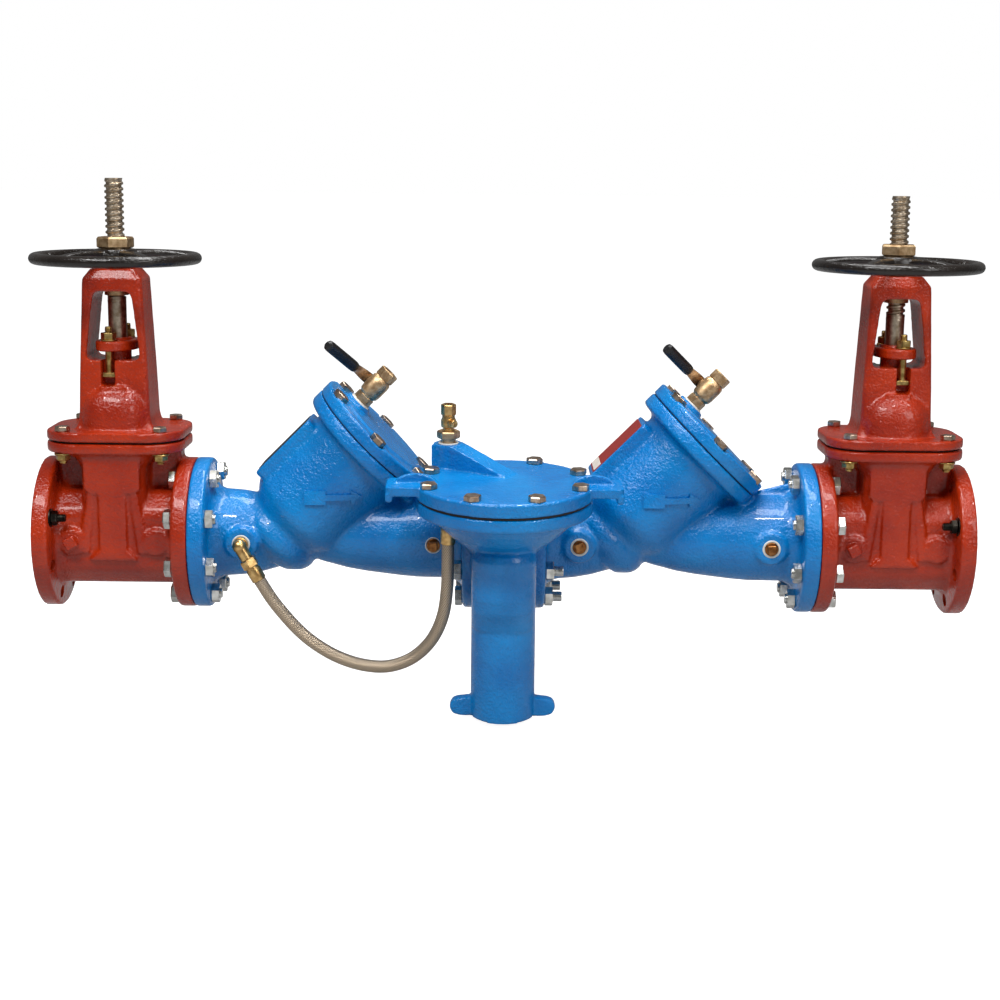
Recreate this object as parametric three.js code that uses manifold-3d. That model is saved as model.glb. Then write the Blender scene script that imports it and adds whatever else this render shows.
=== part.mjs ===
// Reduced-pressure backflow preventer for a four-inch flanged water line.
// Millimetres, +Z up, +X along the flow. The origin is on the pipe centreline, midway between
// the two end flanges. An outside-screw gate valve stands at each end, two Y-pattern check
// valves sit between them, and the relief valve hangs in front of the middle.
import * as THREE from 'three';
import { mergeVertices } from 'three/addons/utils/BufferGeometryUtils.js';
import Module from 'manifold-3d';

const wasm = await Module();
wasm.setup();

// ---- driving dimensions ----
const GAP = 0.3; // running or resting gap between neighbouring pieces
const BORE_R = 50.8; // four-inch waterway
const FLANGE_R = 114.3; // nine-inch flange
const FLANGE_T = 24;
const BOLT_CIRCLE_R = 95.25;
const BOLT_HOLE_R = 9.5;
const JOINT_X = 469; // joint between check assembly and gate valve
const GATE_LENGTH = 228.6; // face to face
const GATE_X = JOINT_X + GATE_LENGTH / 2;

const BONNET_HALF_X = 103;
const BONNET_HALF_Y = 88;
const BONNET_SPLIT_Z = 146.6;
const YOKE_TOP_Z = 401;
const WHEEL_Z = 415;
const WHEEL_R = 127;
const WHEEL_SPOKES = 5;
const STEM_R = 14;
const OUTLET_STEM_DROP = 15; // the outlet valve stands this far below fully open
const WEDGE_HALF_T = 24;
const WEDGE_R = 56.5;
const WEDGE_OPEN_Z = 108; // wedge centre, fully open
const GLAND_BOLT_R = 31; // gland bolts from the stem axis

const FIRST_AXIS_X = -344.6; // where each bonnet axis meets the pipe axis
const SECOND_AXIS_X = 158;
const NECK_R = 67;
const BARREL_R = 83;
const COVER_R = 108.3;
const COVER_SEAM = 202.5; // along the bonnet axis
const COVER_FACE = 223;
const COVER_BOLT_R = 95;
const TEST_COCK_V = 55; // test cock from the bonnet axis, up the cover
const PLUG_Z = -4;

const SPOOL_HALF = 39.85; // relief spool, half length
const CENTRE_FLANGE_R = 112;
const CENTRE_FLANGE_T = 22;
const RELIEF_TILT = THREE.MathUtils.degToRad(4.6); // the relief body leans forward on its bolts
const RELIEF_Y = -132; // relief axis in front of the pipe axis
const RELIEF_DISC_R = 130;
const COLUMN_R = 47.5;
const COLUMN_END_Z = -240;
const HOSE_R = 9.3;

// ---- sides of a circle, by size ----
const BIG = 32;
const MID = 24;
const SMALL = 12;

// ---- materials ----
const paint = (color, roughness, metalness = 0.0) =>
  new THREE.MeshStandardMaterial({ color, roughness, metalness });
const BLUE = () => paint(0x0a78c8, 0.25);
const RED = () => paint(0xb5391f, 0.3);
const BLACK = () => paint(0x15120f, 0.3);
const BRONZE = () => paint(0x9a7a55, 0.4, 0.9);
const BRASS = () => paint(0xc79a4b, 0.35, 0.9);
const STEEL = () => paint(0x8a7f76, 0.4, 0.9);
const ZINC = () => paint(0xc9a75a, 0.4, 0.9);
const RUBBER = () => paint(0x161616, 0.8);
const BRAID = () => paint(0x9a9184, 0.45, 0.8);

// ---- solids from three.js geometries ----
const { Manifold, Mesh: SolidMesh } = wasm;
const V2 = (x, y) => new THREE.Vector2(x, y);
const V3 = (x, y, z) => new THREE.Vector3(x, y, z);

/** Makes a solid from a closed three.js geometry, after moving it by the matrix. */
function solid(geometry, frame = new THREE.Matrix4()) {
  const bare = geometry.index ? geometry.toNonIndexed() : geometry.clone();
  bare.deleteAttribute('normal');
  bare.deleteAttribute('uv');
  bare.applyMatrix4(frame);
  const merged = mergeVertices(bare, 1e-4);
  const p = merged.attributes.position.array;
  const corners = [];
  let volume = 0;
  for (let i = 0; i < merged.index.count; i += 3) {
    const [a, b, c] = [0, 1, 2].map((k) => merged.index.array[i + k]);
    if (a === b || b === c || c === a) continue;
    corners.push(a, b, c);
    const [va, vb, vc] = [a, b, c].map((k) => V3(p[3 * k], p[3 * k + 1], p[3 * k + 2]));
    volume += va.dot(vb.cross(vc));
  }
  if (volume < 0) corners.reverse();
  return new Manifold(new SolidMesh({
    numProp: 3,
    vertProperties: Float32Array.from(p),
    triVerts: Uint32Array.from(corners),
  }));
}

const join = (first, ...others) => others.reduce((sum, s) => sum.add(s), first);
const cut = (first, ...others) => others.reduce((rest, s) => rest.subtract(s), first);

/** A frame whose +Z runs along the given direction from the given point. */
function frameAlong(direction, x = 0, y = 0, z = 0) {
  const turn = new THREE.Quaternion().setFromUnitVectors(V3(0, 0, 1), direction.clone().normalize());
  return new THREE.Matrix4().compose(V3(x, y, z), turn, V3(1, 1, 1));
}
const alongX = (y = 0, z = 0, x = 0) => frameAlong(V3(1, 0, 0), x, y, z);
const alongY = (x = 0, z = 0, y = 0) => frameAlong(V3(0, 1, 0), x, y, z);
const alongZ = (x = 0, y = 0, z = 0) => frameAlong(V3(0, 0, 1), x, y, z);
const bonnetFrame = new THREE.Matrix4().makeRotationY(Math.PI / 4);

/** Turns a closed [radius, height] outline about +Z of the frame. */
function turned(outline, sides = MID, frame) {
  const points = outline.map(([r, h]) => V2(r, h));
  const closed = outline[0][0] > 0 || outline[outline.length - 1][0] > 0;
  if (closed) points.push(points[0].clone());
  const g = new THREE.LatheGeometry(points, sides);
  g.rotateX(Math.PI / 2);
  return solid(g, frame);
}
const rod = (r, z0, z1, sides = MID, frame) => turned([[0, z0], [r, z0], [r, z1], [0, z1]], sides, frame);
const tube = (r0, r1, z0, z1, sides = MID, frame) =>
  turned([[r0, z0], [r1, z0], [r1, z1], [r0, z1]], sides, frame);
const hex = (acrossFlats, z0, z1, frame) => rod(acrossFlats / Math.sqrt(3), z0, z1, 6, frame);

function box(x0, x1, y0, y1, z0, z1, frame) {
  const g = new THREE.BoxGeometry(x1 - x0, y1 - y0, z1 - z0);
  g.translate((x0 + x1) / 2, (y0 + y1) / 2, (z0 + z1) / 2);
  return solid(g, frame);
}

/** Extrudes a 2-D outline (array of [x, y] or a THREE.Shape) from z0 to z1 of the frame. */
function prism(outline, z0, z1, frame, curveSegments = 8) {
  const shape = outline instanceof THREE.Shape ? outline
    : new THREE.Shape(outline.map(([x, y]) => V2(x, y)));
  const g = new THREE.ExtrudeGeometry(shape, { depth: z1 - z0, bevelEnabled: false, curveSegments });
  g.translate(0, 0, z0);
  return solid(g, frame);
}

/** A rectangle with rounded corners, as a shape. */
function roundedRect(halfX, halfY, r) {
  const s = new THREE.Shape();
  s.moveTo(-halfX + r, -halfY);
  s.lineTo(halfX - r, -halfY);
  s.absarc(halfX - r, -halfY + r, r, -Math.PI / 2, 0, false);
  s.lineTo(halfX, halfY - r);
  s.absarc(halfX - r, halfY - r, r, 0, Math.PI / 2, false);
  s.lineTo(-halfX + r, halfY);
  s.absarc(-halfX + r, halfY - r, r, Math.PI / 2, Math.PI, false);
  s.lineTo(-halfX, -halfY + r);
  s.absarc(-halfX + r, -halfY + r, r, Math.PI, Math.PI * 1.5, false);
  return s;
}

/** A four-sided tapered block, centred on the Z axis. */
function taper(halfX0, halfY0, z0, halfX1, halfY1, z1) {
  const g = new THREE.BoxGeometry(2, 2, z1 - z0);
  const p = g.attributes.position;
  for (let i = 0; i < p.count; i += 1) {
    const top = p.getZ(i) > 0;
    p.setXYZ(i, p.getX(i) * (top ? halfX1 : halfX0), p.getY(i) * (top ? halfY1 : halfY0),
      top ? z1 : z0);
  }
  return solid(g);
}

/** A round coil spring along +Z of the frame, with its ends at z0 and z1. */
function coil(radius, wireR, z0, z1, turns, stepsPerTurn = 9, frame) {
  class Helix extends THREE.Curve {
    getPoint(t, target = new THREE.Vector3()) {
      const a = t * turns * Math.PI * 2;
      return target.set(radius * Math.cos(a), radius * Math.sin(a), z0 + wireR + t * (z1 - z0 - 2 * wireR));
    }
  }
  const section = new THREE.Shape();
  section.absarc(0, 0, wireR, 0, Math.PI * 2, false);
  const g = new THREE.ExtrudeGeometry(section, {
    extrudePath: new Helix(), steps: Math.round(turns * stepsPerTurn), curveSegments: 3,
    bevelEnabled: false,
  });
  return solid(g, frame);
}

function mesh(name, body, material) {
  const m = body.getMesh();
  const g = new THREE.BufferGeometry();
  g.setAttribute('position', new THREE.BufferAttribute(Float32Array.from(m.vertProperties), 3));
  g.setIndex(new THREE.BufferAttribute(Uint32Array.from(m.triVerts), 1));
  g.computeVertexNormals();
  const out = new THREE.Mesh(g, material);
  out.name = name;
  return out;
}

// ---- gate valve: body ----
function boltHoles(x0, x1) {
  const holes = [];
  for (let k = 0; k < 8; k += 1) {
    const a = (k + 0.5) * Math.PI / 4;
    const place = alongX(BOLT_CIRCLE_R * Math.cos(a), BOLT_CIRCLE_R * Math.sin(a));
    holes.push(rod(BOLT_HOLE_R, x0, x1, 8, place));
  }
  return holes;
}

function gateBody(openSide) {
  const face = GATE_LENGTH / 2 - GAP / 2;
  const c = 44; // flat half-width of the chamfered belly
  const belly = [[72, -c], [72, c], [c, 72], [-c, 72], [-72, c], [-72, -c], [-c, -72], [c, -72]];
  const outside = join(
    rod(FLANGE_R, -face, -face + FLANGE_T, BIG, alongX()),
    rod(FLANGE_R, face - FLANGE_T, face, BIG, alongX()),
    prism(belly, -face + 10, face - 10, alongX()),
    prism(roundedRect(47, 74, 16), 0, 134, alongZ(), 3),
    box(-95, 95, -20, 20, 60, 132),
    box(-21, 21, -79, -60, -20, 112),
    box(-41, 41, -79, -60, 88, 126),
    prism(roundedRect(BONNET_HALF_X, BONNET_HALF_Y, 58), 131, BONNET_SPLIT_Z, alongZ(), 4),
    rod(20, -80, -60, SMALL, alongY(-62, -2)),
    rod(20, -80, -60, SMALL, alongY(64, -2)),
  );
  const outer = openSide < 0 ? [-face - 5, -face + FLANGE_T + 1] : [face - FLANGE_T - 1, face + 5];
  return cut(
    outside,
    rod(BORE_R, -200, 200, MID, alongX()),
    rod(61, -29, 29, MID, alongX()),
    box(-29, 29, -61, 61, 0, 200),
    rod(9, -90, -68, 8, alongY(-62, -2)),
    ...boltHoles(...outer),
  );
}

const bodyPlug = () => join(
  rod(8.2, -80, -68 - GAP, 8, alongY()),
  box(-8.5, 8.5, -92, -80, -8.5, 8.5),
);

// ---- gate valve: bonnet and yoke ----
function bonnet(glandX) {
  const base = BONNET_SPLIT_Z + 2.3;
  const dome = solid(new THREE.SphereGeometry(1, 16, 8), new THREE.Matrix4().compose(
    V3(0, 0, 176), new THREE.Quaternion(), V3(62, 68, 66),
  )).intersect(box(-50, 50, -80, 80, base, 260));
  const window = new THREE.Shape([V2(-41, 266), V2(41, 266), V2(34.5, 352), V2(31, 364), V2(22, 370),
    V2(-22, 370), V2(-31, 364), V2(-34.5, 352)]);
  const throughY = new THREE.Matrix4().makeRotationX(Math.PI / 2); // shape y becomes +Z
  const body = join(
    prism(roundedRect(BONNET_HALF_X, BONNET_HALF_Y, 58), base, base + 14.5, alongZ(), 4),
    dome,
    taper(56, 45, base + 5, 41, 36, 386),
    taper(41, 36, 385.9, 32, 30, YOKE_TOP_Z),
  );
  return cut(
    body,
    prism(window, -90, 90, throughY),
    box(-29, 29, -60, 60, 140, 176),
    box(-26, 26, -32, 32, 170, 203),
    rod(STEM_R + 0.4, 190, 300, 16, alongZ()),
    rod(20, 226, 300, 16, alongZ()),
    rod(21.5, 360, 410, 20, alongZ()),
    box(glandX - 12, glandX + 12, -70, -23.3, 228, 267),
    box(-glandX - 12, -glandX + 12, 23.3, 70, 228, 267),
  );
}

const bonnetGasket = () => cut(
  prism(roundedRect(BONNET_HALF_X - 1.5, BONNET_HALF_Y - 1.5, 57), BONNET_SPLIT_Z + GAP, BONNET_SPLIT_Z + 2,
    alongZ(), 4),
  box(-31, 31, -63, 63, 100, 200),
);

function glandFollower(glandX, glandY) {
  const angle = Math.atan2(-glandY, -glandX);
  const outline = new THREE.Shape();
  outline.absellipse(0, 0, 47, 31, 0, Math.PI * 2, false, 0);
  const turn = new THREE.Matrix4().makeRotationZ(angle);
  return cut(
    join(prism(outline, 279, 294, turn, 8), rod(19.6, 250, 280, 16, alongZ())),
    rod(STEM_R + 0.4, 240, 310, 16, alongZ()),
    rod(7.3, 270, 310, 8, alongZ(glandX, glandY)),
    rod(7.3, 270, 310, 8, alongZ(-glandX, -glandY)),
  );
}

const glandBolt = () => join(
  box(-10, 10, -6.4, 6.4, 240, 247),
  rod(6.4, 246, 314, 8, alongZ()),
  hex(20, 294 + GAP, 306, alongZ()),
);

// ---- gate valve: moving parts ----
function handwheel() {
  const rimR = 9;
  const profile = [];
  for (let k = 0; k < 7; k += 1) {
    const a = k * Math.PI * 2 / 7;
    profile.push([WHEEL_R - rimR + rimR * Math.cos(a), WHEEL_Z + rimR * Math.sin(a)]);
  }
  let wheel = join(turned(profile, BIG, alongZ()), rod(32, YOKE_TOP_Z + GAP, 429.5, 20, alongZ()));
  for (let k = 0; k < WHEEL_SPOKES; k += 1) {
    const turn = new THREE.Matrix4().makeRotationZ((k + 0.25) * 2 * Math.PI / WHEEL_SPOKES);
    wheel = wheel.add(box(20, WHEEL_R - rimR, -9, 9, WHEEL_Z - 6, WHEEL_Z + 5, turn));
  }
  return wheel.subtract(rod(21.5, 390, 440, 20, alongZ()));
}
const yokeNut = () => tube(STEM_R + 0.4, 21, 371, 446.5, 20, alongZ());
const wheelNut = () => hex(48, 429.5 + GAP, 446.8, alongZ()).subtract(rod(21.5, 420, 460, 20, alongZ()));
const gateStem = () => turned([[0, 148], [STEM_R, 148], [STEM_R, 530], [STEM_R - 3, 533], [0, 533]], 16,
  alongZ());

function wedge() {
  const z = WEDGE_OPEN_Z;
  const outline = new THREE.Shape();
  outline.moveTo(WEDGE_R, z + 22);
  outline.lineTo(24, z + 62);
  outline.lineTo(-24, z + 62);
  outline.lineTo(-WEDGE_R, z + 22);
  outline.lineTo(-WEDGE_R, z);
  outline.absarc(0, z, WEDGE_R, Math.PI, 2 * Math.PI, false);
  const acrossPipe = new THREE.Matrix4().makeBasis(V3(0, 1, 0), V3(0, 0, 1), V3(1, 0, 0));
  return cut(
    prism(outline, -WEDGE_HALF_T, WEDGE_HALF_T, acrossPipe, 12),
    rod(STEM_R + 0.4, 148 - GAP, 200, 16, alongZ()),
  );
}

/** One gate valve. openSide is -1 when the free flange faces -X and +1 when it faces +X. */
function gateValve(prefix, openSide, stemDrop) {
  const group = new THREE.Group();
  group.position.x = openSide * GATE_X;
  const tilt = THREE.MathUtils.degToRad(15) * openSide;
  const [glandX, glandY] = [GLAND_BOLT_R * Math.sin(tilt), -GLAND_BOLT_R * Math.cos(tilt)];
  const plug = mesh(`${prefix}_body_plug`, bodyPlug(), RED());
  plug.position.set(-62, 0, -2);
  const front = mesh(`${prefix}_gland_bolt_front`, glandBolt(), ZINC());
  front.position.set(glandX, glandY, 0);
  const rear = mesh(`${prefix}_gland_bolt_rear`, glandBolt(), ZINC());
  rear.position.set(-glandX, -glandY, 0);
  const rising = new THREE.Group();
  rising.position.z = -stemDrop;
  rising.add(
    mesh(`${prefix}_stem`, gateStem(), STEEL()),
    mesh(`${prefix}_wedge`, wedge(), RUBBER()),
  );
  group.add(
    mesh(`${prefix}_gate_body`, gateBody(openSide), RED()),
    mesh(`${prefix}_bonnet`, bonnet(glandX), RED()),
    mesh(`${prefix}_bonnet_gasket`, bonnetGasket(), RUBBER()),
    mesh(`${prefix}_gland_follower`, glandFollower(glandX, glandY), RED()),
    mesh(`${prefix}_handwheel`, handwheel(), BLACK()),
    mesh(`${prefix}_yoke_nut`, yokeNut(), BRONZE()),
    mesh(`${prefix}_wheel_nut`, wheelNut(), BRONZE()),
    plug, front, rear, rising,
  );
  return group;
}

// ---- check valve ----
/** Room that the two middle flanges leave for the relief valve, seen from a check axis. */
function reliefRoom(axisX) {
  const frame = new THREE.Matrix4().makeTranslation(-axisX, 0, 0)
    .multiply(new THREE.Matrix4().makeRotationX(RELIEF_TILT))
    .multiply(alongZ(0, RELIEF_Y));
  return turned([[0, -250], [COLUMN_R + 2, -250], [COLUMN_R + 2, 19], [70, 58],
    [72, 65], [RELIEF_DISC_R + 2, 71], [RELIEF_DISC_R + 2, 135], [0, 135]], BIG, frame);
}

/** Body of a Y-pattern check valve. inlet and outlet are its two flange faces along X, measured
 *  from the point where the bonnet axis meets the pipe axis. */
function checkBody(axisX, inlet, outlet, inletR, inletT, outletR, outletT, portsX, bosses, rib) {
  const outside = [
    rod(inletR, inlet, inlet + inletT, BIG, alongX()),
    turned([[0, inlet + 5], [NECK_R, inlet + 5], [NECK_R, -48], [50, 14], [0, 14]], MID, alongX()),
    rod(outletR, outlet - outletT, outlet, BIG, alongX()),
    turned([[0, 60], [44, 60], [52, 105], [61, 164], [NECK_R - 1, 205], [NECK_R, outlet - 5],
      [0, outlet - 5]], MID, alongX()),
    turned([[0, -16], [62, -16], [69, -8], [69, 10], [65, 16], [65, 26], [BARREL_R, 46],
      [BARREL_R, 176], [0, 176]], BIG, bonnetFrame),
    turned([[0, 170], [BARREL_R, 170], [COVER_R - 3, 179], [COVER_R, 183], [COVER_R, COVER_SEAM],
      [0, COVER_SEAM]], BIG, bonnetFrame),
    box(-92, -60, -46, 46, 52, 160, bonnetFrame),
    ...bosses.map((x) => rod(24, -71, -40, SMALL, alongY(x, PLUG_Z))),
  ];
  if (rib) {
    const plate = new THREE.Shape([V2(outlet - outletT + 1, 50), V2(outlet - outletT + 1, 90), V2(215, 66),
      V2(215, 50)]);
    outside.push(prism(plate, -6, 6, new THREE.Matrix4().makeRotationX(Math.PI / 2)));
  }
  return cut(
    join(...outside),
    rod(BORE_R, inlet - 10, -30, MID, alongX()),
    turned([[0, -31], [BORE_R, -31], [44, 16], [0, 16]], MID, alongX()),
    rod(45, -14, 60, MID, bonnetFrame),
    rod(58, 14, 60, MID, bonnetFrame),
    rod(72, 38, COVER_SEAM + 10, MID, bonnetFrame),
    turned([[0, 66], [37, 66], [43, 105], [BORE_R, 200], [BORE_R, outlet + 10], [0, outlet + 10]], MID,
      alongX()),
    reliefRoom(axisX),
    ...portsX.map((x) => rod(9.6, -90, -40, 8, alongY(x, PLUG_Z))),
  );
}

const seatRing = () => tube(44, 58 - GAP, 14 + GAP, 24, MID, alongZ());
const checkPoppet = () => turned([[0, 24 + GAP], [55, 24 + GAP], [55, 30], [50, 35], [9, 35], [9, 165],
  [0, 165]], MID, alongZ());
const checkSpring = () => coil(27, 3.2, 35 + GAP, 150 - GAP, 5, 8, alongZ());
const coverGasket = () => tube(72.5, COVER_R - 1, COVER_SEAM + GAP, COVER_SEAM + 2.4, BIG, alongZ());

function checkCover() {
  const z = COVER_SEAM + 2.7;
  return cut(
    join(
      turned([[0, z], [COVER_R, z], [COVER_R, COVER_FACE - 2], [COVER_R - 2, COVER_FACE],
        [0, COVER_FACE]], BIG, alongZ()),
      rod(34, 150, z + 1, 16, alongZ()),
      rod(22, COVER_FACE - 5, 232, 16, alongZ(-TEST_COCK_V)),
    ),
    rod(9.5, 140, 209, SMALL, alongZ()),
    rod(8, 190, 240, 8, alongZ(-TEST_COCK_V)),
  );
}

// The test cock stands on the cover: stem direction and lever direction are square to its axis.
const COCK_Z = 264;
const stemDirection = V3(-0.57, 0.8216, 0);
const leverDirection = V3(-0.8216, -0.57, 0);
const cockFrame = new THREE.Matrix4().makeBasis(leverDirection, V3(0, 0, 1), stemDirection)
  .setPosition(-TEST_COCK_V, 0, COCK_Z); // local x along the lever, z along the stem

const testCockBody = () => cut(
  join(
    hex(25, 232 + GAP, 246, alongZ(-TEST_COCK_V)),
    turned([[0, 245], [13, 245], [16, 249], [16, 278], [12.5, 283], [0, 283]], SMALL, alongZ(-TEST_COCK_V)),
    hex(25, 281, 296, alongZ(-TEST_COCK_V)),
    rod(8, 0, 19, SMALL, cockFrame),
  ),
  rod(6, 200, 300, 8, alongZ(-TEST_COCK_V)),
  solid(new THREE.SphereGeometry(11.9, 12, 8), cockFrame),
  rod(4.5, 0, 30, 8, cockFrame),
);
const testCockBall = () => cut(
  solid(new THREE.SphereGeometry(11, 12, 8), cockFrame),
  rod(6, -20, 20, 8, cockFrame.clone().multiply(alongX())),
  box(-2, 2, -9, 9, 8, 12, cockFrame),
);
const testCockLever = () => join(
  rod(4, 10.5, 25, 8, cockFrame),
  box(-9, 40, -8, 8, 19 + GAP, 22, cockFrame),
  box(39, 98, -5, 5, 19 + GAP, 22, cockFrame),
);
const leverGrip = () => cut(
  prism(roundedRect(31, 8.3, 8), 14.8, 26.6, cockFrame.clone().multiply(alongZ(72.5, 0)), 3),
  box(40.5, 98 + GAP, -5 - GAP, 5 + GAP, 19, 22 + GAP, cockFrame),
);
const portPlug = () => join(
  rod(8.8, -71, -51, 8, alongY()),
  box(-6.2, 6.2, -79, -70, -6.2, 6.2),
);

function checkValve(prefix, axisX, build) {
  const group = new THREE.Group();
  group.position.x = axisX;
  const bonnetGroup = new THREE.Group();
  bonnetGroup.rotation.y = Math.PI / 4;
  bonnetGroup.add(
    mesh(`${prefix}_seat_ring`, seatRing(), BRONZE()),
    mesh(`${prefix}_check_poppet`, checkPoppet(), BRONZE()),
    mesh(`${prefix}_check_spring`, checkSpring(), STEEL()),
    mesh(`${prefix}_cover_gasket`, coverGasket(), RUBBER()),
    mesh(`${prefix}_check_cover`, checkCover(), BLUE()),
    mesh(`${prefix}_test_cock_body`, testCockBody(), BRONZE()),
    mesh(`${prefix}_test_cock_ball`, testCockBall(), STEEL()),
    mesh(`${prefix}_test_cock_lever`, testCockLever(), BRONZE()),
    mesh(`${prefix}_test_cock_grip`, leverGrip(), RUBBER()),
  );
  group.add(mesh(`${prefix}_check_body`, build.body, BLUE()), bonnetGroup);
  for (const [name, x] of build.plugs) {
    const plug = mesh(name, portPlug(), BRASS());
    plug.position.set(x, 0, PLUG_Z);
    group.add(plug);
  }
  return group;
}

// ---- relief valve, in its own leaning frame ----
function reliefBody() {
  const ax = (z = 0) => alongZ(0, RELIEF_Y, z);
  const lug = (side) => join(
    box(Math.min(side * 40, side * 70), Math.max(side * 40, side * 70), RELIEF_Y - 9, RELIEF_Y + 9,
      -242, -213),
    rod(14.5, -9, 9, SMALL, alongY(side * 66, -227.5, RELIEF_Y)),
  );
  const outside = join(
    rod(80, -SPOOL_HALF, SPOOL_HALF, MID, alongX()),
    box(-36, 36, RELIEF_Y + 20, -50, -45, 60),
    turned([[0, COLUMN_END_Z], [COLUMN_R, COLUMN_END_Z], [COLUMN_R, 30], [41, 41], [62, 60],
      [66, 66], [78, 73], [RELIEF_DISC_R - 2, 76], [RELIEF_DISC_R - 2, 95], [0, 95]], BIG, ax()),
    lug(-1), lug(1),
    rod(15, 66, 80, SMALL, alongZ(-82, RELIEF_Y)),
  );
  const hollow = cut(
    outside,
    rod(BORE_R, -60, 60, MID, alongX()),
    turned([[0, 24], [33, 24], [33, 44], [50, 58], [54, 80], [88, 86], [88, 100], [0, 100]], MID, ax()),
    rod(34, -8, 30, 20, ax()),
    rod(24, -30, 10, 16, ax()),
    rod(38, COLUMN_END_Z - 10, -22, 24, ax()),
    rod(17, RELIEF_Y + 30, -30, SMALL, alongY(0, 22)),
  );
  const spider = join(box(-60, 60, RELIEF_Y - 5, RELIEF_Y + 5, 38, 44),
    box(-5, 5, RELIEF_Y - 60, RELIEF_Y + 60, 38, 44), rod(22, 38, 44, SMALL, ax()));
  const inside = turned([[0, 22], [38, 22], [38, 44], [56, 60], [0, 60]], MID, ax());
  return cut(join(hollow, spider.intersect(inside)), rod(8.6, 30, 50, SMALL, ax()));
}

function reliefCover() {
  const ax = alongZ(0, RELIEF_Y);
  const z0 = 98.6;
  const top = 119;
  const ear = (side) => join(
    prism([[side * 104, RELIEF_Y + 14], [side * 168, RELIEF_Y + 14], [side * 171, RELIEF_Y + 8],
      [side * 171, RELIEF_Y - 38], [side * 166, RELIEF_Y - 44], [side * 104, RELIEF_Y - 44]],
    105, top, alongZ()),
    box(Math.min(side * 171, side * 158), Math.max(side * 171, side * 158), RELIEF_Y - 44,
      RELIEF_Y + 12, 96, 110),
    prism([[side * -31, 0], [side * -24, 7], [side * -12, 12], [0, 13.5], [side * 12, 12], [side * 24, 7],
      [side * 31, 0], [side * 31, -6], [side * -31, -6]], -RELIEF_Y - 16, -RELIEF_Y - 8,
    new THREE.Matrix4().makeRotationX(Math.PI / 2).setPosition(side * 128, 0, top)),
  );
  const ramp = [[-8, top - 4], [124, top - 4], [124, 154], [104, 154], [-8, top + 4]];
  const rampFrame = new THREE.Matrix4()
    .makeBasis(V3(-0.7071, 0.7071, 0), V3(0, 0, 1), V3(0.7071, 0.7071, 0))
    .setPosition(0, RELIEF_Y, 0);
  return cut(
    join(
      turned([[0, z0], [RELIEF_DISC_R, z0], [RELIEF_DISC_R, top - 2], [RELIEF_DISC_R - 2, top],
        [0, top]], BIG, ax),
      ear(-1), ear(1),
      prism(ramp, -20, 20, rampFrame),
      rod(21, top - 4, 155, 16, alongZ(-84, RELIEF_Y + 84)),
    ),
    rod(88, z0 - 5, 112, MID, ax),
    rod(10, 135, 170, 12, alongZ(-84, RELIEF_Y + 84)),
  );
}

function reliefGroup() {
  const group = new THREE.Group();
  group.rotation.x = RELIEF_TILT;
  const ax = () => alongZ(0, RELIEF_Y);
  const cock = () => alongZ(-84, RELIEF_Y + 84);
  const side = () => frameAlong(V3(0.5, -0.866, 0), -84, RELIEF_Y + 84, 187);
  group.add(
    mesh('relief_body', reliefBody(), BLUE()),
    mesh('relief_cover', reliefCover(), BLUE()),
    mesh('relief_diaphragm', rod(RELIEF_DISC_R - 1, 95.3, 98.3, BIG, ax()), RUBBER()),
    mesh('relief_seat', tube(22, 34 - GAP, -8 + GAP, 2, 20, ax()), BRONZE()),
    mesh('relief_stem', turned([[0, 20.3], [29, 20.3], [29, 28], [8, 30], [8, 86], [50, 86], [50, 94],
      [0, 94]], 20, ax()), BRONZE()),
    mesh('relief_spring', coil(17, 2.5, 44 + GAP, 86 - GAP, 4, 8, ax()), STEEL()),
    mesh('bleed_bushing', cut(join(rod(9.7, 140, 163, 12, cock()), hex(30, 162, 174, cock())),
      rod(5, 120, 170, 12, cock())), BRONZE()),
    mesh('bleed_cock_body', cut(join(rod(7.5, 174 + GAP, 180, 12, cock()), rod(11, 179, 193, 16, cock()),
      rod(9, 192, 198, 12, cock()), hex(19, 197, 214, cock()), rod(7, 0, 14, 12, side())),
    rod(3, 184, 230, 10, cock()), rod(3.8, -6, 30, 10, side())), BRASS()),
    mesh('bleed_cock_stem', join(rod(3.5, -5, 19, 10, side()), rod(5.5, 14 + GAP, 19, 12, side()))
      .subtract(box(-7, 7, -0.8, 0.8, 17, 20, side())), BRASS()),
    mesh('hose_nut_upper', join(hex(22, 48, 66 - GAP, alongZ(-82, RELIEF_Y)), rod(11, 24, 49, 14,
      alongZ(-82, RELIEF_Y))), BRASS()),
  );
  return group;
}

// ---- sensing hose ----
const ELBOW = V3(-393.5, -88, PLUG_Z);
const hoseDirection = V3(0.5, 0, -0.866);
const HOSE_PATH = [
  [-363.8, -88, -55.5], [-340, -89, -92], [-303, -93, -133], [-266, -99, -159], [-228, -105, -174.5],
  [-191, -111, -180], [-161, -116, -176], [-131, -121, -161], [-105, -126, -133],
  [-89, -129.5, -96], [-83, -131, -53],
  [-82, -132, -15], [-82, -133.4, 12.4]].map(([x, y, z]) => V3(x, y, z));

function sensingHose() {
  const section = new THREE.Shape();
  section.absarc(0, 0, HOSE_R, 0, Math.PI * 2, false);
  return solid(new THREE.ExtrudeGeometry(section, {
    extrudePath: new THREE.CatmullRomCurve3(HOSE_PATH), steps: 28, curveSegments: 4, bevelEnabled: false,
  }));
}

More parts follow.
